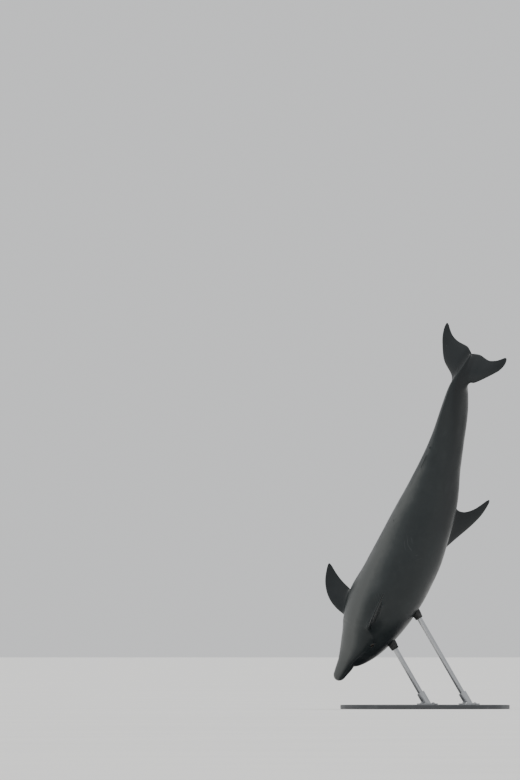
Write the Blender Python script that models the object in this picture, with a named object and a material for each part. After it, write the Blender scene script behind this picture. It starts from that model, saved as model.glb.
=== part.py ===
"""Life-size display model of a bottlenose dolphin that dives head down, on a plain stand.

Units are metres and +Z is up. The origin is the centre of the stand's underside. The animal is
modelled as one closed surface on a bent spine, with its fins drawn out of it, and is then parted
with thin flat cuts where a person would name its parts. Stations along the body and all sizes of
the body's lines are fractions or percents of the body's length, counted from the snout's tip.
"""

import math
from dataclasses import dataclass

import bmesh
import bpy
import numpy as np
from mathutils import Matrix, Vector
from mathutils.bvhtree import BVHTree

# The animal as a whole
LENGTH = 2.60
GAP = 0.0003
CREASE = 0.058
SNOUT_ROUNDING = 0.015
CHIN_JUT = 0.006
TAIL_END = 0.990

# Body lines: station, then back, side line, belly and half width in percent of the length
BEAK_LINES = (
    (0.000, -1.35, -2.40, -3.35, 1.25),
    (0.022, -1.05, -2.35, -3.75, 1.65),
    (0.042, -0.75, -2.45, -4.15, 2.05),
    (0.058, -0.55, -2.60, -4.50, 2.40),
)
BODY_LINES = (
    (0.058, -0.55, -2.60, -4.50, 2.40),
    (0.070, 1.30, -2.80, -4.80, 3.05),
    (0.086, 2.80, -2.85, -5.25, 3.95),
    (0.108, 4.15, -2.50, -6.15, 5.05),
    (0.142, 5.65, -1.80, -7.45, 6.30),
    (0.187, 7.10, -1.15, -8.90, 7.60),
    (0.262, 8.60, -0.70, -10.0, 8.80),
    (0.339, 9.30, -0.45, -10.0, 9.20),
    (0.420, 9.20, -0.30, -9.30, 8.70),
    (0.490, 8.65, -0.25, -8.70, 7.75),
    (0.562, 7.55, -0.20, -7.75, 6.45),
    (0.654, 6.05, -0.20, -6.65, 4.95),
    (0.740, 4.95, -0.15, -5.75, 3.75),
    (0.812, 4.35, -0.10, -5.05, 2.85),
    (0.868, 3.65, 0.00, -3.95, 2.08),
    (0.910, 2.60, 0.00, -2.70, 1.50),
    (0.945, 1.25, 0.00, -1.25, 1.10),
    (0.975, 0.55, 0.00, -0.55, 0.70),
    (TAIL_END, 0.30, 0.00, -0.30, 0.35),
)

# Pose: bends of the spine in degrees, and the station where the body is held
HELD_STATION = 0.389
HELD_AT = Vector((-0.134, 0.0, 1.075))
DIVE_ANGLE = 67.0
ROLL = 34.0
HEAD_PITCH = -2.0
HEAD_YAW = 7.5
ARCH = -13.0
STOCK_PITCH = -12.0
FLUKE_PITCH = 13.0
TAIL_YAW = 9.5
TAIL_TWIST = 18.0
SPINE_STEPS = 400

# Rings of the surface: each span's end station and its number of rings
SEGMENTS = 32
RING_SPANS = (
    (SNOUT_ROUNDING, 4),
    (CREASE, 3),
    (0.108, 5),
    (0.169, 4),
    (0.239, 5),
    (0.413, 5),
    (0.589, 8),
    (0.890, 9),
    (0.984, 6),
    (TAIL_END, 1),
)

# The part of each fin's span where its tip starts to round off
TIP_START = 0.84
# How much of the lost chord a rounding tip loses at its leading edge
TIP_SWEEP = 0.6

# Where the body is parted
NECK_CUT = 0.160
CHEST_CUT = 0.340
BELLY_CUT = 0.630
STOCK_CUT = 0.770
FLUKE_CUT = 0.880
MOUTH_CORNER = 0.112
WEDGE_SIZE = 0.5
FIN_ROOT_HEIGHT = 0.012
FLIPPER_ROOT_HEIGHT = 0.020
FLUKE_ROOT_OFFSET = 0.062

# Eyes and blowhole
EYE_STATION = 0.139
EYE_ANGLE = 91.0
EYE_RADIUS = 0.0175
EYE_PROUD = 0.0045
EYE_SEGMENTS = 12
BLOWHOLE_STATION = 0.125
BLOWHOLE_RADIUS = 0.024
BLOWHOLE_DEPTH = 0.030
BLOWHOLE_SEGMENTS = 20

# Stand
BASE_RADIUS = 0.60
BASE_THICKNESS = 0.030
BASE_BEVEL = 0.005
BASE_SEGMENTS = 48
ROD_STATIONS = {"front": 0.205, "rear": 0.325}
ROD_RADIUS = 0.018
ROD_SEGMENTS = 20
ROD_LEAN = 60.0
ROD_DEPTH = 0.120
COLLAR_RADIUS = 0.032
COLLAR_LENGTH = 0.048
FLANGE_RADIUS = 0.075
FLANGE_THICKNESS = 0.010
FLANGE_SEGMENTS = 24
SLEEVE_RADIUS = 0.028
SLEEVE_LENGTH = 0.100
BOLT_CIRCLE = 0.058
BOLT_RADIUS = 0.0085
BOLT_HEIGHT = 0.007
BOLTS = 4

SKIN_DARK = (0.055, 0.065, 0.075, 1.0)
SKIN_MID = (0.145, 0.160, 0.172, 1.0)
SKIN_PALE = (0.520, 0.515, 0.495, 1.0)
EYE_DARK = (0.012, 0.010, 0.009, 1.0)
STEEL = (0.550, 0.560, 0.570, 1.0)
CHARCOAL = (0.045, 0.047, 0.050, 1.0)
RUBBER = (0.020, 0.020, 0.021, 1.0)


class Line:
    """A smooth curve through a few stations, a natural cubic spline."""

    def __init__(self, stations, values):
        self.stations = np.array(stations, float)
        self.values = np.array(values, float)
        count = len(stations)
        steps = np.diff(self.stations)
        slopes = np.diff(self.values) / steps
        system = np.eye(count)
        target = np.zeros(count)
        for k in range(1, count - 1):
            system[k, k - 1 : k + 2] = steps[k - 1], 2 * (steps[k - 1] + steps[k]), steps[k]
            target[k] = 3 * (slopes[k] - slopes[k - 1])
        self.bend = np.linalg.solve(system, target)
        self.rise = slopes - steps * (2 * self.bend[:-1] + self.bend[1:]) / 3
        self.twist = np.diff(self.bend) / (3 * steps)

    def __call__(self, station):
        last = len(self.stations) - 2
        k = min(max(int(np.searchsorted(self.stations, station)) - 1, 0), last)
        d = station - self.stations[k]
        return self.values[k] + d * (self.rise[k] + d * (self.bend[k] + d * self.twist[k]))


def lines_of(table):
    """The back, side line, belly and half width of a table of stations, as curves in metres."""
    columns = list(zip(*table))
    return [Line(columns[0], [LENGTH * v / 100 for v in column]) for column in columns[1:]]


BEAK = lines_of(BEAK_LINES)
BODY = lines_of(BODY_LINES)


def ease(value, start, end):
    """0 before start, 1 after end, and a smooth rise between them."""
    t = min(max((value - start) / (end - start), 0.0), 1.0)
    return t * t * (3 - 2 * t)


def turn_at(station):
    """The turn of the body at a station, against that at the held station."""
    pitch = HEAD_PITCH * (1 - ease(station, 0.05, 0.30)) + ARCH * (station - HELD_STATION)
    pitch += STOCK_PITCH * ease(station, 0.55, 0.88) + FLUKE_PITCH * ease(station, 0.86, 0.96)
    yaw = HEAD_YAW * (1 - ease(station, 0.05, 0.35)) + TAIL_YAW * ease(station, 0.82, 0.94)
    roll = TAIL_TWIST * ease(station, 0.45, 0.90)
    yaw_turn = Matrix.Rotation(math.radians(yaw), 3, "Z")
    pitch_turn = Matrix.Rotation(math.radians(-pitch), 3, "Y")
    return yaw_turn @ pitch_turn @ Matrix.Rotation(math.radians(roll), 3, "X")


def held_turn():
    """The body's turn in the world at the held station: columns tailward, right side, back."""
    dive = math.radians(DIVE_ANGLE)
    tailward = Vector((math.cos(dive), 0, math.sin(dive)))
    back = Vector((math.sin(dive), 0, -math.cos(dive)))
    upright = Matrix((tailward, back.cross(tailward), back)).transposed()
    return upright @ Matrix.Rotation(math.radians(ROLL), 3, "X")


class Spine:
    """The bent middle line of the body, with a frame of axes at each station."""

    def __init__(self):
        step = 1.0 / SPINE_STEPS
        world = held_turn()
        self.turns = [world @ turn_at(k * step) for k in range(SPINE_STEPS + 1)]
        self.points = [Vector((0, 0, 0))]
        for k in range(SPINE_STEPS):
            along = (self.turns[k].col[0] + self.turns[k + 1].col[0]) / 2
            self.points.append(self.points[-1] + along * (LENGTH * step))
        shift = HELD_AT - self.points[round(HELD_STATION * SPINE_STEPS)]
        self.points = [point + shift for point in self.points]

    def frame(self, station):
        """The spine's point and its axes at a station."""
        place = station * SPINE_STEPS
        k = min(int(place), SPINE_STEPS - 1)
        part = place - k
        point = self.points[k].lerp(self.points[k + 1], part)
        turn = self.turns[k] * (1 - part) + self.turns[k + 1] * part
        return point, turn

    def place(self, station, along, side, up):
        """A point given by its offsets along the axes at a station."""
        point, turn = self.frame(station)
        return point + turn @ Vector((along, side, up))


SPINE = Spine()


def surface(station, angle):
    """A point of the skin. The angle runs from the back, 0, over the right side, 90, to the belly."""
    lines = BEAK if station < CREASE else BODY
    back, middle, belly, half = (line(station) for line in lines)
    end = min(station / SNOUT_ROUNDING, 1.0)
    rounding = math.sqrt(max(1 - (1 - end) ** 2, 0.0))
    side = math.sin(math.radians(angle))
    up = math.cos(math.radians(angle))
    keel = 1.0 + 0.28 * ease(station, 0.60, 0.85) - 0.14 * (1 - ease(station, 0.05, 0.09))
    side = math.copysign(abs(side) ** keel, side)
    reach = back - middle if up > 0 else middle - belly
    jut = CHIN_JUT * (1 - ease(station, 0.0, CREASE)) * ease(-up, 0.1, 0.9) * rounding
    return SPINE.place(station, -jut, half * side * rounding, middle + reach * up * rounding)


def ring_stations():
    """The station of each ring, from the first after the snout's tip to the last before the tail's."""
    stations = []
    start = 0.0
    for end, count in RING_SPANS:
        stations += [start + (end - start) * k / count for k in range(1, count + 1)]
        start = end
    # The snout is round, so its rings close up towards the tip.
    first = RING_SPANS[0][1]
    for k in range(first):
        stations[k] = SNOUT_ROUNDING * (1 - math.cos(math.pi / 2 * (k + 1) / first))
    return stations


RINGS = ring_stations()


@dataclass
class Fin:
    """A fin drawn out of a patch of the body's surface.

    The patch runs from ring to ring at the root's two stations and spans some segments to each
    side of its middle angle. The edges are distances tailward from the root's front, as functions
    of the part of the span, and all sizes are fractions of the body's length.
    """

    front: float
    rear: float
    angle: float
    spread: int
    out_angle: float
    span: float
    lead: object
    trail: object
    thickness: float
    tip_thickness: float
    levels: tuple
    edge: float = 0.0007
    flare: float = 0.0060
    flare_span: float = 0.16

    def axes(self):
        """The root's middle point, and its tailward, outward and thickness directions."""
        middle = (self.front + self.rear) / 2
        _, turn = SPINE.frame(middle)
        out = math.radians(self.out_angle)
        outward = turn @ Vector((0, math.sin(out), math.cos(out)))
        tailward = turn.col[0].copy()
        return surface(middle, self.angle), tailward, outward, outward.cross(tailward)

    def tip_rounding(self, part):
        """How much of the chord is left at a part of the span, as the tip closes in an arc."""
        beyond = max((part - TIP_START) / (1 - TIP_START), 0.0)
        return math.sqrt(1 - 0.96 * beyond * beyond)

    def point(self, part, chord, side):
        """A point of the fin: part of the span, part of the chord, and side from -1 to 1."""
        middle, tailward, outward, across = self.axes()
        station = self.front + (self.rear - self.front) * chord
        on_body = surface(station, self.angle)
        straight = middle + tailward * LENGTH * (station - (self.front + self.rear) / 2)
        root = on_body.lerp(straight, part)
        lead = self.lead(part)
        width = self.trail(part) - lead
        lead += width * (1 - self.tip_rounding(part)) * TIP_SWEEP
        width *= self.tip_rounding(part)
        shift = lead + (width + self.front - self.rear) * chord
        thick = self.thickness + (self.tip_thickness - self.thickness) * part ** 0.8
        thick *= 2.6 * math.sqrt(chord) * (1 - chord)
        flare = self.flare * max(1 - part / self.flare_span, 0.0) ** 2
        half = LENGTH * (self.edge + thick + flare)
        reach = tailward * LENGTH * shift + outward * LENGTH * self.span * part
        return root + reach + across * half * side


def edge_rounding(side, half_chord):
    """How far a rounded edge falls back from its furthest point, at a side from -1 to 1."""
    return half_chord * (1 - math.sqrt(max(1 - side * side, 0.0)))


def draw_out(body, fin, verts):
    """Extrude a fin's patch of faces level by level, and place each level's points."""
    ring_of = {round(station, 6): k + 1 for k, station in enumerate(RINGS)}
    first = ring_of[round(fin.front, 6)]
    last = ring_of[round(fin.rear, 6)]
    middle = round(fin.angle * SEGMENTS / 360)
    chord_layer = body.verts.layers.int["chord"]
    side_layer = body.verts.layers.int["side"]
    columns = [middle + k for k in range(-fin.spread, fin.spread + 1)]
    for ring in range(first, last + 1):
        for k, column in enumerate(columns):
            vert = verts[ring, column % SEGMENTS]
            vert[chord_layer] = ring - first
            vert[side_layer] = k
    patch = {verts[ring, c % SEGMENTS] for ring in range(first, last + 1) for c in columns}
    faces = [face for face in body.faces if patch.issuperset(face.verts)]
    steps = last - first
    for level in fin.levels:
        drawn = bmesh.ops.extrude_face_region(body, geom=faces)["geom"]
        bmesh.ops.delete(body, geom=faces, context="FACES")
        faces = [item for item in drawn if isinstance(item, bmesh.types.BMFace)]
        for vert in {corner for face in faces for corner in face.verts}:
            chord = 0.02 + 0.965 * (vert[chord_layer] / steps) ** 1.25
            side = vert[side_layer] / fin.spread - 1
            if vert[chord_layer] == 0:
                chord = edge_rounding(side, 0.02)
            if vert[chord_layer] == steps:
                chord = 1 - edge_rounding(side, 0.015)
            vert.co = fin.point(level, chord, side)


def dorsal_fin():
    """The fin on the back, hooked backwards."""
    front, rear, tip = 0.413, 0.589, 0.606
    return Fin(
        front=front,
        rear=rear,
        angle=0,
        spread=1,
        out_angle=0,
        span=0.098,
        lead=lambda t: (tip - front) * (0.78 * t + 0.22 * t ** 4),
        trail=lambda t: rear - front + (tip + 0.016 - rear) * t ** 2 - 0.085 * math.sqrt(t) * (1 - t),
        thickness=0.0085,
        tip_thickness=0.0010,
        levels=(0.04, 0.11, 0.21, 0.34, 0.49, 0.64, 0.78, 0.90, 0.98, 1.0),
    )


def flipper(side):
    """The flipper of the right side, 1, or of the left side, -1, swept back and down."""
    front, rear, tip = 0.169, 0.239, 0.100
    return Fin(
        front=front,
        rear=rear,
        angle=side * 123.75,
        spread=1,
        out_angle=side * 136,
        span=0.119,
        lead=lambda t: tip * (0.18 * t + 0.82 * t ** 2.3),
        trail=lambda t: rear - front + (tip + 0.022 - rear + front) * t ** 1.3,
        thickness=0.0075,
        tip_thickness=0.0012,
        levels=(0.05, 0.13, 0.24, 0.37, 0.51, 0.66, 0.80, 0.91, 0.98, 1.0),
    )


def fluke(side):
    """The fluke of the right side, 1, or of the left side, -1."""
    front, rear, tip = 0.890, 0.984, 0.124
    return Fin(
        front=front,
        rear=rear,
        angle=side * 90,
        spread=2,
        out_angle=side * 90,
        span=0.108,
        lead=lambda t: tip * (0.27 * t + 0.73 * t ** 2.5),
        trail=lambda t: rear - front + 0.009 * ease(t, 0.0, 0.15) + (tip + 0.008 - 0.103) * t ** 3,
        thickness=0.0085,
        tip_thickness=0.0008,
        levels=(0.05, 0.13, 0.24, 0.37, 0.51, 0.66, 0.80, 0.91, 0.98, 1.0),
        flare=0.0030,
    )


def whole_animal():
    """One closed surface of the body with its fins."""
    body = bmesh.new()
    count = len(RINGS)
    bmesh.ops.create_uvsphere(body, u_segments=SEGMENTS, v_segments=count + 1, radius=1.0)
    body.verts.layers.int.new("chord")
    body.verts.layers.int.new("side")
    verts = {}
    for vert in body.verts:
        ring = round(math.acos(max(-1.0, min(1.0, vert.co.z))) / math.pi * (count + 1))
        column = round(math.atan2(vert.co.y, vert.co.x) / (2 * math.pi) * SEGMENTS) % SEGMENTS
        if ring == 0:
            vert.co = surface(0.0, 0.0)
        elif ring == count + 1:
            vert.co = SPINE.place(TAIL_END + 0.001, 0, 0, 0)
        else:
            verts[ring, column] = vert
    for (ring, column), vert in verts.items():
        vert.co = surface(RINGS[ring - 1], column * 360 / SEGMENTS)
    for fin in (dorsal_fin(), flipper(1), flipper(-1), fluke(1), fluke(-1)):
        draw_out(body, fin, verts)
    face_outwards(body)
    bmesh.ops.triangulate(body, faces=body.faces)
    return body


def keep_behind(mesh, point, normal):
    """Cut a mesh by a plane, keep what lies behind it by half a gap, and close the cut."""
    normal = normal.normalized()
    geometry = mesh.verts[:] + mesh.edges[:] + mesh.faces[:]
    cut = bmesh.ops.bisect_plane(
        mesh,
        geom=geometry,
        dist=1e-7,
        plane_co=point - normal * GAP / 2,
        plane_no=normal,
        clear_outer=True,
    )
    edges = [item for item in cut["geom_cut"] if isinstance(item, bmesh.types.BMEdge)]
    bmesh.ops.edgeloop_fill(mesh, edges=edges)


def material(name, colour, roughness, metallic=0.0):
    """A plain finish."""
    made = bpy.data.materials.new(name)
    made.use_nodes = True
    shader = made.node_tree.nodes["Principled BSDF"]
    shader.inputs["Base Color"].default_value = colour
    shader.inputs["Roughness"].default_value = roughness
    shader.inputs["Metallic"].default_value = metallic
    return made


def face_outwards(mesh):
    """Turn all faces of a closed mesh outwards."""
    bmesh.ops.recalc_face_normals(mesh, faces=mesh.faces)
    if mesh.calc_volume(signed=True) < 0:
        bmesh.ops.reverse_faces(mesh, faces=mesh.faces)


def new_object(name, mesh, finish, helper=False):
    """An object made of a bmesh, which is freed. A helper only cuts other objects."""
    face_outwards(mesh)
    data = bpy.data.meshes.new(name)
    mesh.to_mesh(data)
    mesh.free()
    data.shade_smooth()
    data.set_sharp_from_angle(angle=math.radians(35))
    made = bpy.data.objects.new(name, data)
    bpy.context.scene.collection.objects.link(made)
    if finish:
        data.materials.append(finish)
    if helper:
        made.hide_render = True
        made.display_type = "WIRE"
    return made


def subtract(target, cutter):
    """Cut one object out of another with a live Boolean."""
    boolean = target.modifiers.new("cut by " + cutter.name, "BOOLEAN")
    boolean.operation = "DIFFERENCE"
    boolean.solver = "EXACT"
    boolean.object = cutter


def piece(name, whole, planes, finish):
    """The part of the animal that lies behind each of the planes."""
    mesh = whole.copy()
    for point, normal in planes:
        keep_behind(mesh, point, normal)
    return new_object(name, mesh, finish)


def across_spine(station):
    """A plane through the spine at a station, facing tailward."""
    point, turn = SPINE.frame(station)
    return point, turn.col[0].copy()


def reversed_plane(plane):
    """The same plane, facing the other way."""
    return plane[0], -plane[1]


def mouth_plane():
    """The plane of the closed mouth, facing the back of the animal."""
    tip = SPINE.place(0.0, 0, 0, BEAK[1](0.0))
    corner = SPINE.place(MOUTH_CORNER, 0, 0, BODY[1](MOUTH_CORNER))
    _, turn = SPINE.frame(CREASE)
    return tip, turn.col[1].cross(tip - corner).normalized()


def root_plane(fin, height):
    """A plane across a fin's root, at a height over the skin, facing the fin's tip."""
    point, _, outward, _ = fin.axes()
    front = surface(fin.front, fin.angle)
    rear = surface(fin.rear, fin.angle)
    along = rear - front
    normal = (outward - along * outward.dot(along) / along.length_squared).normalized()
    return point + normal * height, normal


def cylinder(start, end, radius, segments):
    """A closed cylinder between two points."""
    mesh = bmesh.new()
    axis = end - start
    turn = axis.to_track_quat("Z", "Y").to_matrix().to_4x4()
    place = Matrix.Translation((start + end) / 2) @ turn
    bmesh.ops.create_cone(
        mesh,
        cap_ends=True,
        segments=segments,
        radius1=radius,
        radius2=radius,
        depth=axis.length,
        matrix=place,
    )
    return mesh


def ball(centre, radius, segments):
    """A closed ball."""
    mesh = bmesh.new()
    place = Matrix.Translation(centre)
    bmesh.ops.create_uvsphere(
        mesh, u_segments=segments, v_segments=segments // 2, radius=radius, matrix=place
    )
    return mesh


def skin_normal(station, angle):
    """The outward direction of the skin at a station and angle."""
    along = surface(station + 0.004, angle) - surface(station - 0.004, angle)
    around = surface(station, angle + 2) - surface(station, angle - 2)
    normal = around.cross(along).normalized()
    centre, _ = SPINE.frame(station)
    return normal if normal.dot(surface(station, angle) - centre) > 0 else -normal


def part_body(whole, finishes):
    """The animal's own pieces, by name."""
    neck, chest, belly = map(across_spine, (NECK_CUT, CHEST_CUT, BELLY_CUT))
    stock, tail = map(across_spine, (STOCK_CUT, FLUKE_CUT))
    crease = across_spine(CREASE + 0.001)
    corner = across_spine(MOUTH_CORNER)
    mouth = mouth_plane()
    fin_root = root_plane(dorsal_fin(), FIN_ROOT_HEIGHT)
    sides = {"right": 1, "left": -1}
    flipper_roots = {name: root_plane(flipper(side), FLIPPER_ROOT_HEIGHT) for name, side in sides.items()}
    fluke_roots = {}
    for name, side in sides.items():
        point, turn = SPINE.frame((fluke(side).front + fluke(side).rear) / 2)
        outward = turn.col[1] * side
        fluke_roots[name] = (point + outward * FLUKE_ROOT_OFFSET, outward)

    dark, mid, pale = finishes["dark"], finishes["mid"], finishes["pale"]
    made = {
        "upper_beak": piece("upper_beak", whole, [crease, reversed_plane(mouth)], mid),
        "lower_jaw": piece("lower_jaw", whole, [corner, mouth], pale),
        "head": piece("head", whole, [neck, reversed_plane(crease)], mid),
        "chest": piece(
            "chest",
            whole,
            [chest, reversed_plane(neck), flipper_roots["right"], flipper_roots["left"]],
            mid,
        ),
        "belly": piece("belly", whole, [belly, reversed_plane(chest), fin_root], mid),
        "loin": piece("loin", whole, [stock, reversed_plane(belly)], dark),
        "tail_stock": piece("tail_stock", whole, [tail, reversed_plane(stock)], dark),
        "fluke_base": piece(
            "fluke_base",
            whole,
            [reversed_plane(tail), fluke_roots["right"], fluke_roots["left"]],
            dark,
        ),
        "dorsal_fin": piece("dorsal_fin", whole, [stock, reversed_plane(fin_root)], dark),
    }
    for name in sides:
        root = reversed_plane(flipper_roots[name])
        planes = [chest, reversed_plane(neck), root]
        made["flipper_" + name] = piece("flipper_" + name, whole, planes, dark)
        root = reversed_plane(fluke_roots[name])
        made["fluke_" + name] = piece("fluke_" + name, whole, [reversed_plane(tail), root], dark)
    return made


def cut_jaw_from_head(head):
    """Clear the head of the wedge that the lower jaw takes."""
    _, turn = SPINE.frame(MOUTH_CORNER)
    mouth_point, mouth_normal = mouth_plane()
    rear_point, rear_normal = across_spine(MOUTH_CORNER)
    wedge = bmesh.new()
    bmesh.ops.create_cube(wedge, size=1.0)
    size = WEDGE_SIZE
    side = turn.col[1]
    top = mouth_point + mouth_normal * GAP / 2
    rear = rear_point + rear_normal * GAP / 2
    # The corner line where the wedge's top and rear faces meet, in the plane of symmetry
    forward = mouth_normal.cross(side).normalized()
    forward = forward if forward.dot(rear_normal) < 0 else -forward
    corner = top + forward * ((rear - top).dot(rear_normal) / forward.dot(rear_normal))
    down = rear_normal.cross(side).normalized()
    down = down if down.dot(mouth_normal) < 0 else -down
    for vert in wedge.verts:
        ahead = forward * size if vert.co.x < 0 else Vector((0, 0, 0))
        below = down * size if vert.co.z < 0 else Vector((0, 0, 0))
        vert.co = corner + ahead + below + side * (size * vert.co.y)
    subtract(head, new_object("jaw_cutter", wedge, None, helper=True))


def add_eyes(head, finish):
    """Each eye is a ball in a socket, a little proud of the skin."""
    for name, side in (("right", 1), ("left", -1)):
        angle = side * EYE_ANGLE
        normal = skin_normal(EYE_STATION, angle)
        centre = surface(EYE_STATION, angle) - normal * (EYE_RADIUS - EYE_PROUD)
        new_object("eye_" + name, ball(centre, EYE_RADIUS, EYE_SEGMENTS), finish)
        socket = ball(centre, EYE_RADIUS + GAP, EYE_SEGMENTS)
        subtract(head, new_object("socket_cutter_" + name, socket, None, helper=True))


def add_blowhole(head, whole, finish):
    """The blowhole's plug, a round piece of the top of the head."""
    normal = skin_normal(BLOWHOLE_STATION, 0)
    point = surface(BLOWHOLE_STATION, 0)
    start = point - normal * BLOWHOLE_DEPTH
    end = point + normal * BLOWHOLE_DEPTH
    cut = cylinder(start - normal * GAP, end, BLOWHOLE_RADIUS + GAP, BLOWHOLE_SEGMENTS)
    subtract(head, new_object("blowhole_cutter", cut, None, helper=True))
    plug = new_object("blowhole", cylinder(start, end, BLOWHOLE_RADIUS, BLOWHOLE_SEGMENTS), finish)
    skin = new_object("blowhole_skin", whole.copy(), None, helper=True)
    shared = plug.modifiers.new("flush with the skin", "BOOLEAN")
    shared.operation = "INTERSECT"
    shared.solver = "EXACT"
    shared.object = skin


def add_base(finish):
    """A round flat plate with softened edges."""
    plate = cylinder(Vector((0, 0, 0)), Vector((0, 0, BASE_THICKNESS)), BASE_RADIUS, BASE_SEGMENTS)
    rims = [edge for edge in plate.edges if edge.verts[0].co.z == edge.verts[1].co.z]
    bmesh.ops.bevel(
        plate,
        geom=rims,
        offset=BASE_BEVEL,
        offset_type="OFFSET",
        segments=1,
        profile=0.5,
        affect="EDGES",
        material=-1,
    )
    new_object("stand_base", plate, finish)


def rod_direction():
    """The way the rods rise from the base to the body."""
    lean = math.radians(ROD_LEAN)
    return Vector((-math.cos(lean), 0, math.sin(lean)))


def add_rod(name, station, whole, inflated, targets, finishes):
    """A rod that leans up into the back, with its flange and bolts on the base and its collar."""
    rise = rod_direction()
    centre, _ = SPINE.frame(station)
    floor = BASE_THICKNESS + GAP
    foot = centre - rise * ((centre.z - floor) / rise.z)
    entry, _, _, _ = BVHTree.FromBMesh(whole).ray_cast(foot, rise)
    top = entry + rise * ROD_DEPTH
    below = foot - rise * 0.1

    rod = cylinder(below, top, ROD_RADIUS, ROD_SEGMENTS)
    keep_behind(rod, Vector((0, 0, floor - GAP / 2)), Vector((0, 0, -1)))
    new_object("stand_rod_" + name, rod, finishes["steel"])
    bore = cylinder(below, top + rise * GAP, ROD_RADIUS + GAP, ROD_SEGMENTS)
    bore = new_object("bore_cutter_" + name, bore, None, helper=True)
    for target in targets:
        subtract(target, bore)

    outer = entry - rise * COLLAR_LENGTH
    inner = entry + rise * COLLAR_RADIUS
    collar = cylinder(outer, inner, COLLAR_RADIUS, ROD_SEGMENTS)
    collar = new_object("stand_collar_" + name, collar, finishes["rubber"])
    subtract(collar, bore)
    subtract(collar, inflated)

    disc = cylinder(
        Vector((foot.x, foot.y, floor)),
        Vector((foot.x, foot.y, floor + FLANGE_THICKNESS)),
        FLANGE_RADIUS,
        FLANGE_SEGMENTS,
    )
    flange = new_object("stand_flange_" + name, disc, finishes["steel"])
    sleeve = cylinder(below, foot + rise * SLEEVE_LENGTH, SLEEVE_RADIUS, ROD_SEGMENTS)
    keep_behind(sleeve, Vector((0, 0, floor + FLANGE_THICKNESS / 2)), Vector((0, 0, -1)))
    sleeve = new_object("sleeve_" + name, sleeve, None, helper=True)
    joined = flange.modifiers.new("sleeve", "BOOLEAN")
    joined.operation = "UNION"
    joined.solver = "EXACT"
    joined.object = sleeve
    subtract(flange, bore)

    level = floor + FLANGE_THICKNESS + GAP
    for k in range(BOLTS):
        around = math.radians(360 * (k + 0.5) / BOLTS)
        x = foot.x + BOLT_CIRCLE * math.cos(around)
        y = foot.y + BOLT_CIRCLE * math.sin(around)
        head = cylinder(Vector((x, y, level)), Vector((x, y, level + BOLT_HEIGHT)), BOLT_RADIUS, 6)
        new_object(f"stand_bolt_{name}_{k + 1}", head, finishes["steel"])


def clear_scene():
    """Remove what the scene held before."""
    for old in list(bpy.data.objects):
        bpy.data.objects.remove(old, do_unlink=True)


def main():
    clear_scene()
    finishes = {
        "dark": material("dark skin", SKIN_DARK, 0.35),
        "mid": material("flank skin", SKIN_MID, 0.35),
        "pale": material("pale skin", SKIN_PALE, 0.38),
        "eye": material("eye", EYE_DARK, 0.08),
        "steel": material("brushed steel", STEEL, 0.32, 1.0),
        "charcoal": material("charcoal paint", CHARCOAL, 0.55),
        "rubber": material("rubber", RUBBER, 0.75),
    }
    whole = whole_animal()
    made = part_body(whole, finishes)
    cut_jaw_from_head(made["head"])
    add_eyes(made["head"], finishes["eye"])
    add_blowhole(made["head"], whole, finishes["dark"])
    swollen = whole.copy()
    swollen.normal_update()
    for vert in swollen.verts:
        vert.co += vert.normal * GAP
    inflated = new_object("body_cutter", swollen, None, helper=True)
    add_base(finishes["charcoal"])
    for name, station in ROD_STATIONS.items():
        add_rod(name, station, whole, inflated, [made["chest"], made["head"]], finishes)
    whole.free()


main()
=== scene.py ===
"""Life-size display model of a diving bottlenose dolphin: its skin, eyes, stand and studio."""

import logging
import math
from collections.abc import Callable, Iterable, Sequence
from dataclasses import dataclass, field
from enum import Enum

import bmesh
import bpy
import numpy as np
from mathutils import Matrix, Vector
from mathutils.kdtree import KDTree


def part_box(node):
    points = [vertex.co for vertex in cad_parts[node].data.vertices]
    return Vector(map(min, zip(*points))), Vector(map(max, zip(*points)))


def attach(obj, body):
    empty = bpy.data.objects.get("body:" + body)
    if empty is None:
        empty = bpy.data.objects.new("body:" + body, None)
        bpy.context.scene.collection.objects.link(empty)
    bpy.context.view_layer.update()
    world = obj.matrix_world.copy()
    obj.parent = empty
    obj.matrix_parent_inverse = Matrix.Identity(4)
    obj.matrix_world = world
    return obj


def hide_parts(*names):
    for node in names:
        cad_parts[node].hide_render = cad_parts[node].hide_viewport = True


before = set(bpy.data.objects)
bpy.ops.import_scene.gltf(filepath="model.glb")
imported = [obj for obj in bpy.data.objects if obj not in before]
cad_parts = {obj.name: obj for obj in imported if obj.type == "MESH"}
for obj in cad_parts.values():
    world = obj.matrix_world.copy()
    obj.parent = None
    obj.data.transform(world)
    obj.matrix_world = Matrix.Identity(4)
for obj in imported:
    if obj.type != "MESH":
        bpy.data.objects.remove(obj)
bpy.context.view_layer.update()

LOG = logging.getLogger("dolphin")
BODY = "root"
MM = 0.001

Face = bmesh.types.BMFace
Vert = bmesh.types.BMVert
Mesh = bmesh.types.BMesh
Socket = bpy.types.NodeSocket
Colour = tuple[float, float, float, float]
Place = tuple[float, float]


class Side(Enum):
    """The two sides of the animal."""

    RIGHT = 1
    LEFT = -1


class Slot(Enum):
    """The record's material slots."""

    SKIN = "skin"
    EYE = "eye"
    BASE = "base_paint"
    STEEL = "steel"
    RUBBER = "rubber"


def ease(value: float, start: float, end: float) -> float:
    """A smooth rise from 0 before start to 1 after end."""
    t = min(max((value - start) / (end - start), 0.0), 1.0)
    return t * t * (3 - 2 * t)


def between(value: float, start: float, full: float, fade: float, end: float) -> float:
    """A smooth rise from 0 to 1, and a smooth fall back to 0."""
    return ease(value, start, full) * (1 - ease(value, fade, end))


def bump(distance: float, width: float) -> float:
    """A bell of height 1, which has all but gone at two widths."""
    return math.exp(-((distance / width) ** 2))


def rgb(red: float, green: float, blue: float) -> Colour:
    """An opaque colour."""
    return red, green, blue, 1.0


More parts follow.
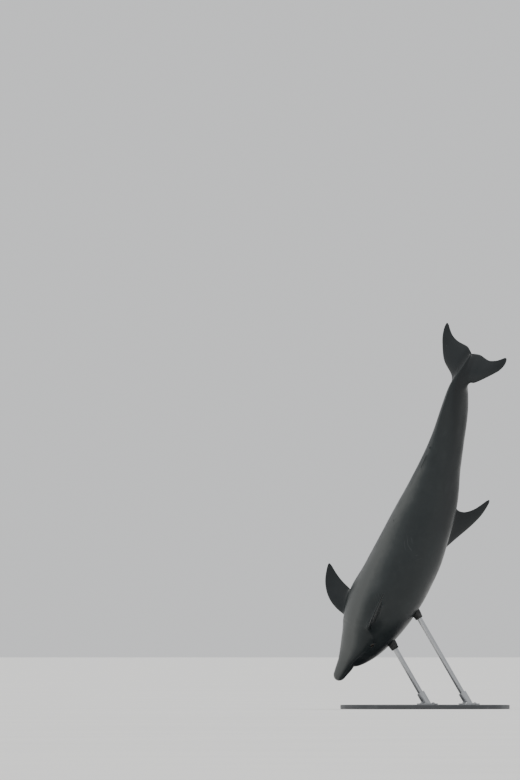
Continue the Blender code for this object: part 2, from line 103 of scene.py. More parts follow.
class Line:
    """A smooth curve through a few stations, a natural cubic spline."""

    def __init__(self, stations: Sequence[float], values: Sequence[float]) -> None:
        """Work out the pieces of the spline.

        Args:
            stations: the known places, in rising order.
            values: the value at each of them.
        """
        self.stations = np.array(stations, float)
        self.values = np.array(values, float)
        count = len(stations)
        steps = np.diff(self.stations)
        slopes = np.diff(self.values) / steps
        system = np.eye(count)
        target = np.zeros(count)
        for k in range(1, count - 1):
            system[k, k - 1 : k + 2] = steps[k - 1], 2 * (steps[k - 1] + steps[k]), steps[k]
            target[k] = 3 * (slopes[k] - slopes[k - 1])
        self.bend = np.linalg.solve(system, target)
        self.rise = slopes - steps * (2 * self.bend[:-1] + self.bend[1:]) / 3
        self.twist = np.diff(self.bend) / (3 * steps)

    def __call__(self, station: float) -> float:
        """The curve's value at a station.

        Args:
            station: where to read the curve.

        Returns:
            The value there.
        """
        last = len(self.stations) - 2
        k = min(max(int(np.searchsorted(self.stations, station)) - 1, 0), last)
        d = station - self.stations[k]
        return float(self.values[k] + d * (self.rise[k] + d * (self.bend[k] + d * self.twist[k])))


@dataclass(frozen=True)
class Pose:
    """The bends of the spine in degrees, and where and how the body is held."""

    held_station: float = 0.389
    held_at: tuple[float, float, float] = (-0.134, 0.0, 1.075)
    dive: float = 67.0
    roll: float = 34.0
    head_pitch: float = -2.0
    head_yaw: float = 7.5
    arch: float = -13.0
    stock_pitch: float = -12.0
    fluke_pitch: float = 16.7
    tail_yaw: float = 9.3
    tail_twist: float = 20.8

    def turn_at(self, station: float) -> Matrix:
        """The turn of the body at a station, against that at the held station.

        Args:
            station: the place along the body.

        Returns:
            The turn, as a matrix.
        """
        pitch = self.head_pitch * (1 - ease(station, 0.05, 0.30))
        pitch += self.arch * (station - self.held_station)
        pitch += self.stock_pitch * ease(station, 0.55, 0.88)
        pitch += self.fluke_pitch * ease(station, 0.86, 0.96)
        yaw = self.head_yaw * (1 - ease(station, 0.05, 0.35))
        yaw += self.tail_yaw * ease(station, 0.82, 0.94)
        roll = self.tail_twist * ease(station, 0.45, 0.90)
        yaw_turn = Matrix.Rotation(math.radians(yaw), 3, "Z")
        pitch_turn = Matrix.Rotation(math.radians(-pitch), 3, "Y")
        return yaw_turn @ pitch_turn @ Matrix.Rotation(math.radians(roll), 3, "X")

    def held_turn(self) -> Matrix:
        """The body's turn at the held station: columns tailward, right side, back.

        Returns:
            The turn, as a matrix.
        """
        dive = math.radians(self.dive)
        tailward = Vector((math.cos(dive), 0, math.sin(dive)))
        back = Vector((math.sin(dive), 0, -math.cos(dive)))
        upright = Matrix((tailward, back.cross(tailward), back)).transposed()
        return upright @ Matrix.Rotation(math.radians(self.roll), 3, "X")


class Spine:
    """The bent middle line of the body, with a frame of axes at each station."""

    STEPS = 400

    def __init__(self, length: float, pose: Pose) -> None:
        """Bend the middle line, step by step.

        Args:
            length: the body's length.
            pose: how the body bends, and where it is held.
        """
        step = 1.0 / self.STEPS
        world = pose.held_turn()
        self.turns = [world @ pose.turn_at(k * step) for k in range(self.STEPS + 1)]
        points = [Vector((0, 0, 0))]
        for k in range(self.STEPS):
            along = (self.turns[k].col[0] + self.turns[k + 1].col[0]) / 2
            points.append(points[-1] + along * (length * step))
        shift = Vector(pose.held_at) - points[round(pose.held_station * self.STEPS)]
        self.points = [point + shift for point in points]

    def frame(self, station: float) -> tuple[Vector, Matrix]:
        """The spine's point and its axes at a station.

        Args:
            station: the place along the body.

        Returns:
            The point, and a matrix whose columns point tailward, right and to the back.
        """
        place = station * self.STEPS
        k = min(int(place), self.STEPS - 1)
        part = place - k
        point = self.points[k].lerp(self.points[k + 1], part)
        return point, self.turns[k] * (1 - part) + self.turns[k + 1] * part

    def place(self, station: float, along: float, side: float, up: float) -> Vector:
        """A point given by its offsets along the axes at a station."""
        point, turn = self.frame(station)
        return point + turn @ Vector((along, side, up))


# A station, and the back, side line, belly and half width there in percent of the length
BEAK_LINES = (
    (0.000, -1.22, -2.40, -3.66, 1.32),
    (0.022, -0.87, -2.35, -4.20, 1.72),
    (0.042, -0.46, -2.45, -4.54, 2.10),
    (0.058, -0.18, -2.60, -4.80, 2.44),
)
BODY_LINES = (
    (0.058, -0.18, -2.60, -4.80, 2.44),
    (0.070, 1.38, -2.80, -5.06, 3.09),
    (0.086, 2.80, -2.85, -5.48, 3.98),
    (0.108, 4.15, -2.50, -6.35, 5.07),
    (0.142, 5.65, -1.80, -7.65, 6.32),
    (0.187, 7.06, -1.15, -9.05, 7.62),
    (0.262, 8.76, -0.70, -10.0, 8.80),
    (0.339, 9.65, -0.45, -9.70, 9.12),
    (0.420, 9.42, -0.30, -8.93, 8.58),
    (0.490, 8.68, -0.25, -8.38, 7.66),
    (0.562, 7.45, -0.20, -7.62, 6.45),
    (0.654, 5.84, -0.20, -6.78, 5.02),
    (0.740, 4.82, -0.15, -6.08, 3.86),
    (0.812, 4.86, -0.10, -5.44, 3.02),
    (0.868, 3.82, 0.00, -4.22, 2.20),
    (0.910, 2.28, 0.00, -2.70, 1.44),
    (0.945, 1.25, 0.00, -1.25, 1.10),
    (0.975, 0.55, 0.00, -0.55, 0.70),
    (0.990, 0.30, 0.00, -0.30, 0.35),
)
# The stations between which each pair of fins, and the dorsal fin, grows out of the body
FLIPPER_ROOT = (0.1674, 0.2472)
DORSAL_ROOT = (0.4297, 0.5877)
FLUKE_ROOT = (0.890, 0.9795)


@dataclass
class BodyForm:
    """The shape of the body without its fins, on the bent spine.

    A place on the skin is a station, 0 at the snout's tip to 1, and an angle in degrees from the
    back, 0, over the right side, 90, to the belly, 180, or over the left side for negative ones.
    """

    length: float = 2.60
    crease: float = 0.058
    crease_sweep: float = 0.012
    crease_depth: float = 3.5 * MM
    crease_width: float = 7.5 * MM
    snout_set_back: float = 0.0050
    snout_rounding: float = 0.015
    chin_jut: float = 0.006
    mouth_corner: float = 0.1195
    mouth_depth: float = 4.2 * MM
    mouth_width: float = 2.4 * MM
    lip_height: float = 0.9 * MM
    lip_offset: float = 3.6 * 2.4 * MM
    lip_width: float = 2.6 * 2.4 * MM
    lower_lip: float = 0.8
    eye_station: float = 0.139
    eye_angle: float = 91.0
    eye_reach: float = 0.12
    eye_hollow: float = 2.2 * MM
    brow_height: float = 2.6 * MM
    cheek_height: float = 1.6 * MM
    lower_fold_depth: float = 0.9 * MM
    furrow_depth: float = 3.5 * MM
    nape_depth: float = 3.0 * MM
    keel_height: float = 2.0 * MM
    neck_folds: tuple[Place, ...] = ((0.1610, 1.3 * MM), (0.1765, 1.0 * MM), (0.1490, 0.8 * MM))
    head_end: float = 0.20
    plain_snout: float = 0.012
    shoulder_swelling: float = 0.10
    stock_keel: float = 0.28
    beak_fullness: float = 0.14
    pose: Pose = field(default_factory=Pose)

    def __post_init__(self) -> None:
        """Bend the spine and lay out the lines of the body."""
        self.spine = Spine(self.length, self.pose)
        self.beak = self.lines_of(BEAK_LINES)
        self.body = self.lines_of(BODY_LINES)
        self.mouth_line = Line(
            (0.0, 0.030, 0.058, 0.080, 0.098, 0.110, 0.120, 0.135, 0.160),
            (91.0, 91.0, 92.5, 95.0, 95.0, 92.5, 88.5, 89.0, 90.0),
        )
        self.known: dict[tuple[float, float], Vector] = {}

    def lines_of(self, table: Sequence[Sequence[float]]) -> list[Line]:
        """The back, side line, belly and half width of a table in percent, in metres.

        Args:
            table: a row for each station.

        Returns:
            The four curves.
        """
        columns = list(zip(*table))
        scale = self.length / 100
        return [Line(columns[0], [scale * v for v in column]) for column in columns[1:]]

    def swept(self, station: float, angle: float) -> float:
        """The station that gives the section here: the melon starts further back at its sides.

        Args:
            station: the place along the body.
            angle: degrees from the back, over the right side.

        Returns:
            The station to read the tables at.
        """
        off = abs(angle)
        around = between(off, 15, 80, 80, 92)
        along = between(station, 0.050, 0.062, 0.085, 0.115)
        return station - self.crease_sweep * around * along

    def surface(self, station: float, angle: float) -> Vector:
        """A point of the plain form, with neither folds nor grooves.

        Args:
            station: the place along the body.
            angle: degrees from the back, over the right side.

        Returns:
            The point in the model's frame.
        """
        key = (station, angle)
        if key in self.known:
            return self.known[key].copy()
        section = self.swept(station, angle)
        lines = self.beak if section < self.crease else self.body
        back, middle, belly, half = (line(section) for line in lines)
        end = min(station / self.snout_rounding, 1.0)
        rounding = math.sqrt(max(1 - (1 - end) ** 2, 0.0))
        side = math.sin(math.radians(angle))
        up = math.cos(math.radians(angle))
        keel = 1.0 + self.stock_keel * ease(station, 0.60, 0.85)
        keel -= self.beak_fullness * (1 - ease(station, 0.05, 0.09))
        side = math.copysign(abs(side) ** keel, side)
        reach = back - middle if up > 0 else middle - belly
        jut = self.chin_jut * (1 - ease(station, 0.0, self.crease)) * ease(-up, 0.1, 0.9) * rounding
        back_by = self.snout_set_back * (1 - ease(station, 0.0, self.crease))
        rounding *= self.swelling(station, abs(angle))
        up_by = middle + reach * up * rounding
        point = self.spine.place(station + back_by, -jut, half * side * rounding, up_by)
        self.known[key] = point
        return point.copy()

    def swelling(self, station: float, off: float) -> float:
        """How much thicker the flippers' shoulders and the dorsal fin's foot make the section.

        Args:
            station: the place along the body.
            off: degrees from the back, on either side.

        Returns:
            The factor on the section.
        """
        shoulder = self.shoulder_swelling * bump(off - 137, 20)
        shoulder *= between(station, 0.125, 0.175, 0.240, 0.335)
        foot = 0.04 * ease(station, 0.34, 0.42) + 0.066 * ease(station, 0.46, 0.575)
        foot *= (1 - ease(off, 40, 75)) * (1 - ease(station, 0.580, 0.668))
        return 1.0 + shoulder + foot

    def normal(self, station: float, angle: float) -> Vector:
        """The outward direction of the plain form.

        Args:
            station: the place along the body.
            angle: degrees from the back, over the right side.

        Returns:
            The direction, of length 1.
        """
        step, lowest = 0.0015, 0.0005
        ahead = self.surface(max(station - step, lowest), angle)
        along = self.surface(station + step, angle) - ahead
        around = self.surface(station, angle + 1.0) - self.surface(station, angle - 1.0)
        normal = around.cross(along).normalized()
        centre, _ = self.spine.frame(station)
        return normal if normal.dot(self.surface(station, angle) - centre) > 0 else -normal

    def arc(self, station: float, angle: float) -> float:
        """The length of skin, in metres, for each degree round the body."""
        around = self.surface(station, angle + 1.0) - self.surface(station, angle - 1.0)
        return around.length / 2

    def mouth_relief(self, station: float, off: float) -> float:
        """The groove of the closed mouth between its two lips.

        Args:
            station: the place along the body.
            off: degrees from the back, on either side.

        Returns:
            The height over the plain form, in metres.
        """
        if station > self.mouth_corner + 0.006:
            return 0.0
        from_line = (off - self.mouth_line(station)) * self.arc(station, off)
        fade = 1 - ease(station, self.mouth_corner - 0.010, self.mouth_corner + 0.005)
        lips = bump(from_line + self.lip_offset, self.lip_width)
        lips += self.lower_lip * bump(from_line - self.lip_offset, self.lip_width)
        groove = self.mouth_depth * bump(from_line, self.mouth_width)
        return fade * (self.lip_height * lips - groove)

    def crease_relief(self, station: float, off: float) -> float:
        """The fold where the melon rises out of the beak.

        Args:
            station: the place along the body.
            off: degrees from the back, on either side.

        Returns:
            The height over the plain form, in metres.
        """
        from_fold = (self.swept(station, off) - self.crease) * self.length
        strength = 1 - ease(off, 62, 88)
        return -self.crease_depth * strength * bump(from_fold - 0.001, self.crease_width)

    def eye_relief(self, station: float, off: float) -> float:
        """The shallow hollow round the eye, the brow over it and the fold below it.

        Args:
            station: the place along the body.
            off: degrees from the back, on either side.

        Returns:
            The height over the plain form, in metres.
        """
        along = (station - self.eye_station) * self.length
        around = (off - self.eye_angle) * self.arc(station, off)
        if max(abs(along), abs(around)) > self.eye_reach:
            return 0.0
        hollow = self.eye_hollow * bump(math.hypot(along, around), 0.034)
        brow = self.brow_height * bump(along, 0.040) * bump(around + 0.030, 0.014)
        cheek = self.cheek_height * bump(along + 0.012, 0.045) * bump(around - 0.034, 0.016)
        fold = bump(along, 0.030) * bump(around - 0.0245 + 8 * along * along, 0.0035)
        return brow + cheek - hollow - self.lower_fold_depth * fold

    def flesh_relief(self, station: float, off: float) -> float:
        """The low forms under the skin: the flank's furrow, the neck's folds and the nape.

        Args:
            station: the place along the body.
            off: degrees from the back, on either side.

        Returns:
            The height over the plain form, in metres.
        """
        furrow = self.furrow_depth * bump(off - 88, 16) * between(station, 0.34, 0.50, 0.80, 0.88)
        nape = self.nape_depth * bump(off, 28) * bump(station - 0.150, 0.016)
        folds = 0.0
        for place, depth in self.neck_folds:
            wander = 0.0030 * math.sin(math.radians(off * 3.1 + place * 9000))
            folds += depth * bump(station - place - wander, 0.0030)
        folds *= ease(off, 96, 116)
        keels = bump(off, 9) + bump(off - 180, 9)
        keels *= self.keel_height * between(station, 0.62, 0.72, 0.86, 0.90)
        return keels - furrow - nape - folds

    def relief(self, station: float, angle: float) -> float:
        """How far folds and grooves move the skin outwards, in metres.

        Args:
            station: the place along the body.
            angle: degrees from the back, over the right side.

        Returns:
            The height over the plain form.
        """
        off = abs(angle)
        total = self.flesh_relief(station, off)
        if station < self.head_end:
            total += self.mouth_relief(station, off)
            total += self.crease_relief(station, off)
            total += self.eye_relief(station, off)
        return total

    def skin(self, station: float, angle: float, height: float = 0.0) -> Vector:
        """A point of the finished skin, or at a height over it.

        Args:
            station: the place along the body.
            angle: degrees from the back, over the right side.
            height: a height over the skin, in metres.

        Returns:
            The point in the model's frame.
        """
        lift = self.relief(station, angle) * ease(station, 0.0, self.plain_snout) + height
        point = self.surface(station, angle)
        if abs(lift) > 0.001 * MM:
            point += self.normal(station, angle) * lift
        return point


@dataclass
class Fin:
    """A fin that is drawn out of a patch of the body's skin.

    The edges are distances tailward from the root's front, as functions of the part of the span,
    and all sizes are fractions of the body's length.
    """

    form: BodyForm
    front: float
    rear: float
    angle: float
    half_patch: float
    out_angle: float
    span: float
    lead: Callable[[float], float]
    trail: Callable[[float], float]
    thickness: float
    tip_thickness: float
    edge: float = 0.00045
    flare: float = 0.0090
    flare_span: float = 0.13
    tip_start: float = 0.84
    tip_sweep: float = 0.6
    nose: float = 0.03
    heel: float = 0.985
    tip_closing: float = 0.97
    chord_crowding: float = 1.15
    rim_width: float = 1.05

    SECTION_GAIN = 2.6  # brings the section's thickest place to 1
    LEVELS = (
        0.012, 0.03, 0.055, 0.09, 0.135, 0.19, 0.26, 0.34, 0.43, 0.52, 0.61,
        0.70, 0.78, 0.85, 0.905, 0.945, 0.972, 0.989, 0.998,
    )  # fmt: skip

    def __post_init__(self) -> None:
        """Note the fin's axes."""
        self.middle = (self.front + self.rear) / 2
        _, turn = self.form.spine.frame(self.middle)
        out = math.radians(self.out_angle)
        self.outward = turn @ Vector((0, math.sin(out), math.cos(out)))
        self.tailward = turn.col[0].copy()
        self.across = self.outward.cross(self.tailward)
        self.centre = self.form.surface(self.middle, self.angle)

    def tip_rounding(self, part: float) -> float:
        """How much of the chord is left at a part of the span, as the tip closes in an arc."""
        beyond = max((part - self.tip_start) / (1 - self.tip_start), 0.0)
        return math.sqrt(max(1 - self.tip_closing * beyond * beyond, 0.0))

    def section(self, part: float, chord: float) -> float:
        """Half the thickness at a part of the span and of the chord, in metres.

        Args:
            part: the part of the span.
            chord: the part of the chord.

        Returns:
            The half thickness.
        """
        thick = self.thickness + (self.tip_thickness - self.thickness) * part**0.8
        thick *= self.SECTION_GAIN * math.sqrt(chord) * (1 - chord)
        left = max(1 - part / self.flare_span, 0.0)
        flare = self.flare * (1 - math.sqrt(1 - left * left))
        flare *= math.sqrt(max(1 - (2 * chord - 1) ** 2, 0.0))
        return self.form.length * (self.edge + thick + flare)

    def outline(self, part: float, chord: float, side: float) -> tuple[float, float]:
        """A place on the root patch as one on the section, which is rounded at both ends.

        Args:
            part: the part of the span.
            chord: how far back on the patch, 0 to 1.
            side: across the patch, -1 to 1.

        Returns:
            The part of the chord, and half the thickness there in metres.
        """
        if chord <= 0.0:
            return self.nose * side * side, self.section(part, self.nose)
        if chord >= 1.0:
            return self.heel + (1 - self.heel) * (1 - side * side), self.section(part, self.heel)
        place = self.nose + (self.heel - self.nose) * chord**self.chord_crowding
        return place, self.section(part, place)

    def point(self, part: float, chord: float, side: float) -> Vector:
        """A point of the fin.

        Args:
            part: how far out on the span, 0 to 1.
            chord: how far back on the patch, 0 to 1.
            side: across the patch, -1 to 1.

        Returns:
            The point in the model's frame.
        """
        place, half = self.outline(part, chord, side)
        station = self.front + (self.rear - self.front) * place
        on_body = self.form.surface(station, self.angle)
        straight = self.centre + self.tailward * self.form.length * (station - self.middle)
        root = on_body.lerp(straight, part)
        lead = self.lead(part)
        width = self.trail(part) - lead
        kept = self.tip_rounding(part)
        lead += width * (1 - kept) * self.tip_sweep
        width *= kept
        shift = lead + (width + self.front - self.rear) * place
        reach = self.tailward * shift + self.outward * self.span * part
        return root + reach * self.form.length + self.across * half * side

    def on_skin(self, chord: float, side: float) -> Vector:
        """Where the root's rim lies on the body.

        Args:
            chord: how far back on the patch, 0 to 1.
            side: across the patch, -1 to 1.

        Returns:
            The point in the model's frame.
        """
        place, half = self.outline(0.0, chord, side)
        station = self.front + (self.rear - self.front) * place
        # The fin's thickness runs over the back or up the side, by which way it points
        degrees = half * self.rim_width * side / self.form.arc(station, self.angle)
        sense = self.form.surface(station, self.angle + 1) - self.form.surface(station, self.angle)
        degrees = math.copysign(degrees, degrees * sense.dot(self.across))
        return self.form.surface(station, self.angle + degrees)


def dorsal_fin(form: BodyForm) -> Fin:
    """The fin on the back, hooked backwards, with the small nicks of a grown animal.

    Args:
        form: the body that it grows from.

    Returns:
        The fin.
    """
    (front, rear), tip = DORSAL_ROOT, 0.5920

    def lead(t: float) -> float:
        """The front edge."""
        straight = (tip - front) * (0.882 * t + 0.118 * t**5.82)
        return straight + 0.0345 * t**0.7 * (1 - t) ** 2

    def trail(t: float) -> float:
        """The rear edge, with its nicks.

        Args:
            t: the part of the span.

        Returns:
            The distance tailward.
        """
        nicks = 0.0018 * bump(t - 0.47, 0.035) + 0.0012 * bump(t - 0.71, 0.03)
        hollow = 0.0950 * t**0.6188 * max(1 - t, 0.0) ** 1.0685
        return rear - front + (tip + 0.0370 - rear) * t**2.65 - hollow - nicks

    return Fin(
        form=form,
        front=front,
        rear=rear,
        angle=0,
        half_patch=11.5,
        out_angle=0,
        span=0.0988,
        lead=lead,
        trail=trail,
        thickness=0.0085,
        tip_thickness=0.0012,
        tip_start=0.890,
        tip_sweep=0.56,
    )


def flipper(form: BodyForm, side: Side) -> Fin:
    """The flipper of one side, swept back and down.

    Args:
        form: the body that it grows from.
        side: the body's side.

    Returns:
        The fin.
    """
    (front, rear), tip = FLIPPER_ROOT, 0.0902

    def trail(t: float) -> float:
        """The rear edge."""
        return rear - front + (tip + 0.0290 - rear + front) * t - 0.0315 * t**0.88 * (1 - t) ** 0.95

    return Fin(
        form=form,
        front=front,
        rear=rear,
        angle=side.value * 123.75,
        half_patch=11.5,
        out_angle=side.value * 128.8,
        span=0.1026,
        lead=lambda t: tip * (0.311 * t + 0.689 * t**3.62) + 0.008 * t**0.7 * (1 - t) ** 2,
        trail=trail,
        thickness=0.0075,
        tip_thickness=0.0014,
        flare=0.0075,
        tip_start=0.86,
        tip_sweep=0.74,
    )


def fluke(form: BodyForm, side: Side) -> Fin:
    """The fluke of one side.

    Args:
        form: the body that it grows from.
        side: the body's side.

    Returns:
        The fin.
    """
    (front, rear), tip = FLUKE_ROOT, 0.0968

    def trail(t: float) -> float:
        """The rear edge, from the notch out.

        Args:
            t: the part of the span.

        Returns:
            The distance tailward.
        """
        lobe = 0.0146 * ease(t, 0.0, 0.13)
        nick = 0.0014 * bump(t - (0.52 if side is Side.RIGHT else 0.66), 0.035)
        bent = -0.0022 * bump(t - 0.5, 0.30)
        if side is Side.LEFT:
            bent = 0.0010 * bump(t - 0.35, 0.30) + 0.0062 * bump(t - 0.085, 0.065)
        return rear - front + lobe - 0.0183 * t - 0.0207 * t * t + 0.074 * t**3 - nick + bent

    def side_lead(t: float) -> float:
        """How far the bending water has pushed the leading edge.

        Args:
            t: the part of the span.

        Returns:
            The distance tailward.
        """
        if side is Side.LEFT:
            return 0.002 * bump(t - 0.15, 0.12) - 0.0128 * bump(t - 0.62, 0.25)
        return 0.0115 * bump(t - 0.09, 0.10) + 0.0025 * bump(t - 0.60, 0.30)

    return Fin(
        form=form,
        front=front,
        rear=rear,
        angle=side.value * 90,
        half_patch=22.5,
        out_angle=side.value * 90,
        span=0.1054,
        lead=lambda t: tip * (0.42 * t + 0.58 * t**1.64) + side_lead(t),
        trail=trail,
        thickness=0.0085,
        tip_thickness=0.0010,
        flare=0.0040,
        tip_start=0.88,
        tip_sweep=0.58 if side is Side.LEFT else 0.40,
    )


@dataclass(frozen=True)
class Ring:
    """One ring of an opening's rim: its half lengths, its height and how far it is in shadow.

    hug is how far the ring's height is counted from a ball below it instead of from the skin.
    """

    along: float
    around: float
    height: float
    hug: float = 0.0
    shade: float = 0.0
    bow: float = 0.0


@dataclass(frozen=True)
class Opening:
    """A small opening that is drawn into the skin: lids, the blowhole, a slit or an ear hole."""

    station: float
    angle: float
    half_along: float
    half_around: float
    rings: tuple[Ring, ...]
    pointed: float = 1.0
    ball_radius: float = 0.0
    ball_centre: tuple[float, float, float] = (0.0, 0.0, 0.0)

    @property
    def sense(self) -> int:
        """1 where degrees grow away from the back, and -1 on the left side."""
        return 1 if self.angle >= 0 else -1

    def on_ball(self, form: BodyForm, along: float, around: float, height: float) -> Vector:
        """The point at a height over the ball, offset tailward and away from the back.

        Args:
            form: the body.
            along: metres tailward.
            around: metres away from the back.
            height: metres over the ball.

        Returns:
            The point in the model's frame.
        """
        step = 0.002
        out = form.normal(self.station, self.angle)
        ahead = form.surface(self.station - step, self.angle)
        tailward = (form.surface(self.station + step, self.angle) - ahead).normalized()
        across = out.cross(tailward)
        lower = form.surface(self.station, self.angle + self.sense)
        if across.dot(lower - form.surface(self.station, self.angle)) < 0:
            across = -across
        flat = tailward * along + across * around
        up = math.sqrt(max(self.ball_radius**2 - flat.length_squared, 0.0))
        reach = self.ball_radius + height
        return Vector(self.ball_centre) + (flat + out * up).normalized() * reach

    def point(self, form: BodyForm, ring: Ring, turn: float) -> Vector:
        """The point of a ring at an angle of turn, in radians from tailward.

        Args:
            form: the body.
            ring: the ring.
            turn: where on the ring.

        Returns:
            The point in the model's frame.
        """
        along = ring.along * math.cos(turn)
        wave = math.sin(turn)
        around = ring.around * math.copysign(abs(wave) ** self.pointed, wave)
        if ring.bow:
            along += ring.bow * (0.5 - (around / ring.around) ** 2)
        degrees = around / form.arc(self.station, self.angle)
        place = self.station + along / form.length
        on_skin = form.skin(place, self.angle + self.sense * degrees, ring.height)
        if not ring.hug:
            return on_skin
        return on_skin.lerp(self.on_ball(form, along, around, ring.height), ring.hug)


def eye_lids(form: BodyForm, side: Side, radius: float, centre: Vector) -> Opening:
    """The two lids of an eye, which close in on its ball.

    Args:
        form: the body.
        side: the head's side.
        radius: the eyeball's radius.
        centre: the eyeball's centre.

    Returns:
        The opening.
    """
    return Opening(
        station=form.eye_station,
        angle=side.value * form.eye_angle,
        half_along=0.030,
        half_around=0.026,
        pointed=1.18,
        ball_radius=radius,
        ball_centre=tuple(centre),
        rings=(
            Ring(0.0250, 0.0205, 0.0),
            Ring(0.0218, 0.0160, 0.0004, 0.10),
            Ring(0.0202, 0.0137, 0.0001, 0.30),
            Ring(0.0190, 0.0122, 0.0005, 0.55, 0.1),
            Ring(0.0176, 0.0108, 0.0014, 0.80, 0.2),
            Ring(0.0160, 0.0094, 0.0019, 1.0, 0.35),
            Ring(0.0145, 0.0084, 0.0018, 1.0, 0.7),
            Ring(0.0135, 0.0078, 0.0010, 1.0, 1.0),
            Ring(0.0129, 0.0075, -0.0004, 1.0, 1.0),
            Ring(0.0112, 0.0066, -0.0030, 1.0, 1.0),
        ),
    )


def blowhole() -> Opening:
    """The closed crescent of the blowhole, with its horns towards the beak.

    Returns:
        The opening.
    """
    return Opening(
        station=0.125,
        angle=0.0,
        half_along=0.024,
        half_around=0.032,
        rings=(
            Ring(0.0200, 0.0280, 0.0003, bow=0.002),
            Ring(0.0150, 0.0250, 0.0012, bow=0.004),
            Ring(0.0100, 0.0225, 0.0022, bow=0.007),
            Ring(0.0060, 0.0205, 0.0022, shade=0.2, bow=0.010),
            Ring(0.0032, 0.0190, 0.0010, shade=0.7, bow=0.0115),
            Ring(0.0018, 0.0182, -0.0020, shade=1.0, bow=0.012),
            Ring(0.0010, 0.0172, -0.0090, shade=1.0, bow=0.012),
        ),
    )


class Slit(Enum):
    """The closed slits on the belly: the station, half the length and half the lips' width."""

    NAVEL = (0.470, 0.011, 0.004)
    GENITAL_SLIT = (0.655, 0.062, 0.0045)
    VENT = (0.700, 0.012, 0.0045)


def belly_slit(slit: Slit) -> Opening:
    """A closed slit on the belly's middle line.

    Args:
        slit: which one.

    Returns:
        The opening.
    """
    station, half_length, half_width = slit.value
    return Opening(
        station=station,
        angle=180.0,
        half_along=half_length * 1.12,
        half_around=half_width * 3.4,
        pointed=1.1,
        rings=(
            Ring(half_length * 1.06, half_width * 2.6, 0.0),
            Ring(half_length, half_width * 1.5, 0.0011),
            Ring(half_length * 0.95, half_width * 0.6, 0.0009, shade=0.05),
            Ring(half_length * 0.92, half_width * 0.22, -0.0008, shade=0.5),
            Ring(half_length * 0.88, half_width * 0.12, -0.0040, shade=1.0),
        ),
    )


def ear_hole(side: Side) -> Opening:
    """The pinhole of the ear, behind the eye.

    Args:
        side: the head's side.

    Returns:
        The opening.
    """
    return Opening(
        station=0.1625,
        angle=side.value * 93.5,
        half_along=0.010,
        half_around=0.008,
        rings=(
            Ring(0.0060, 0.0050, 0.0),
            Ring(0.0034, 0.0030, -0.0003, shade=0.3),
            Ring(0.0016, 0.0014, -0.0011, shade=1.0),
            Ring(0.0011, 0.0010, -0.0040, shade=1.0),
        ),
    )


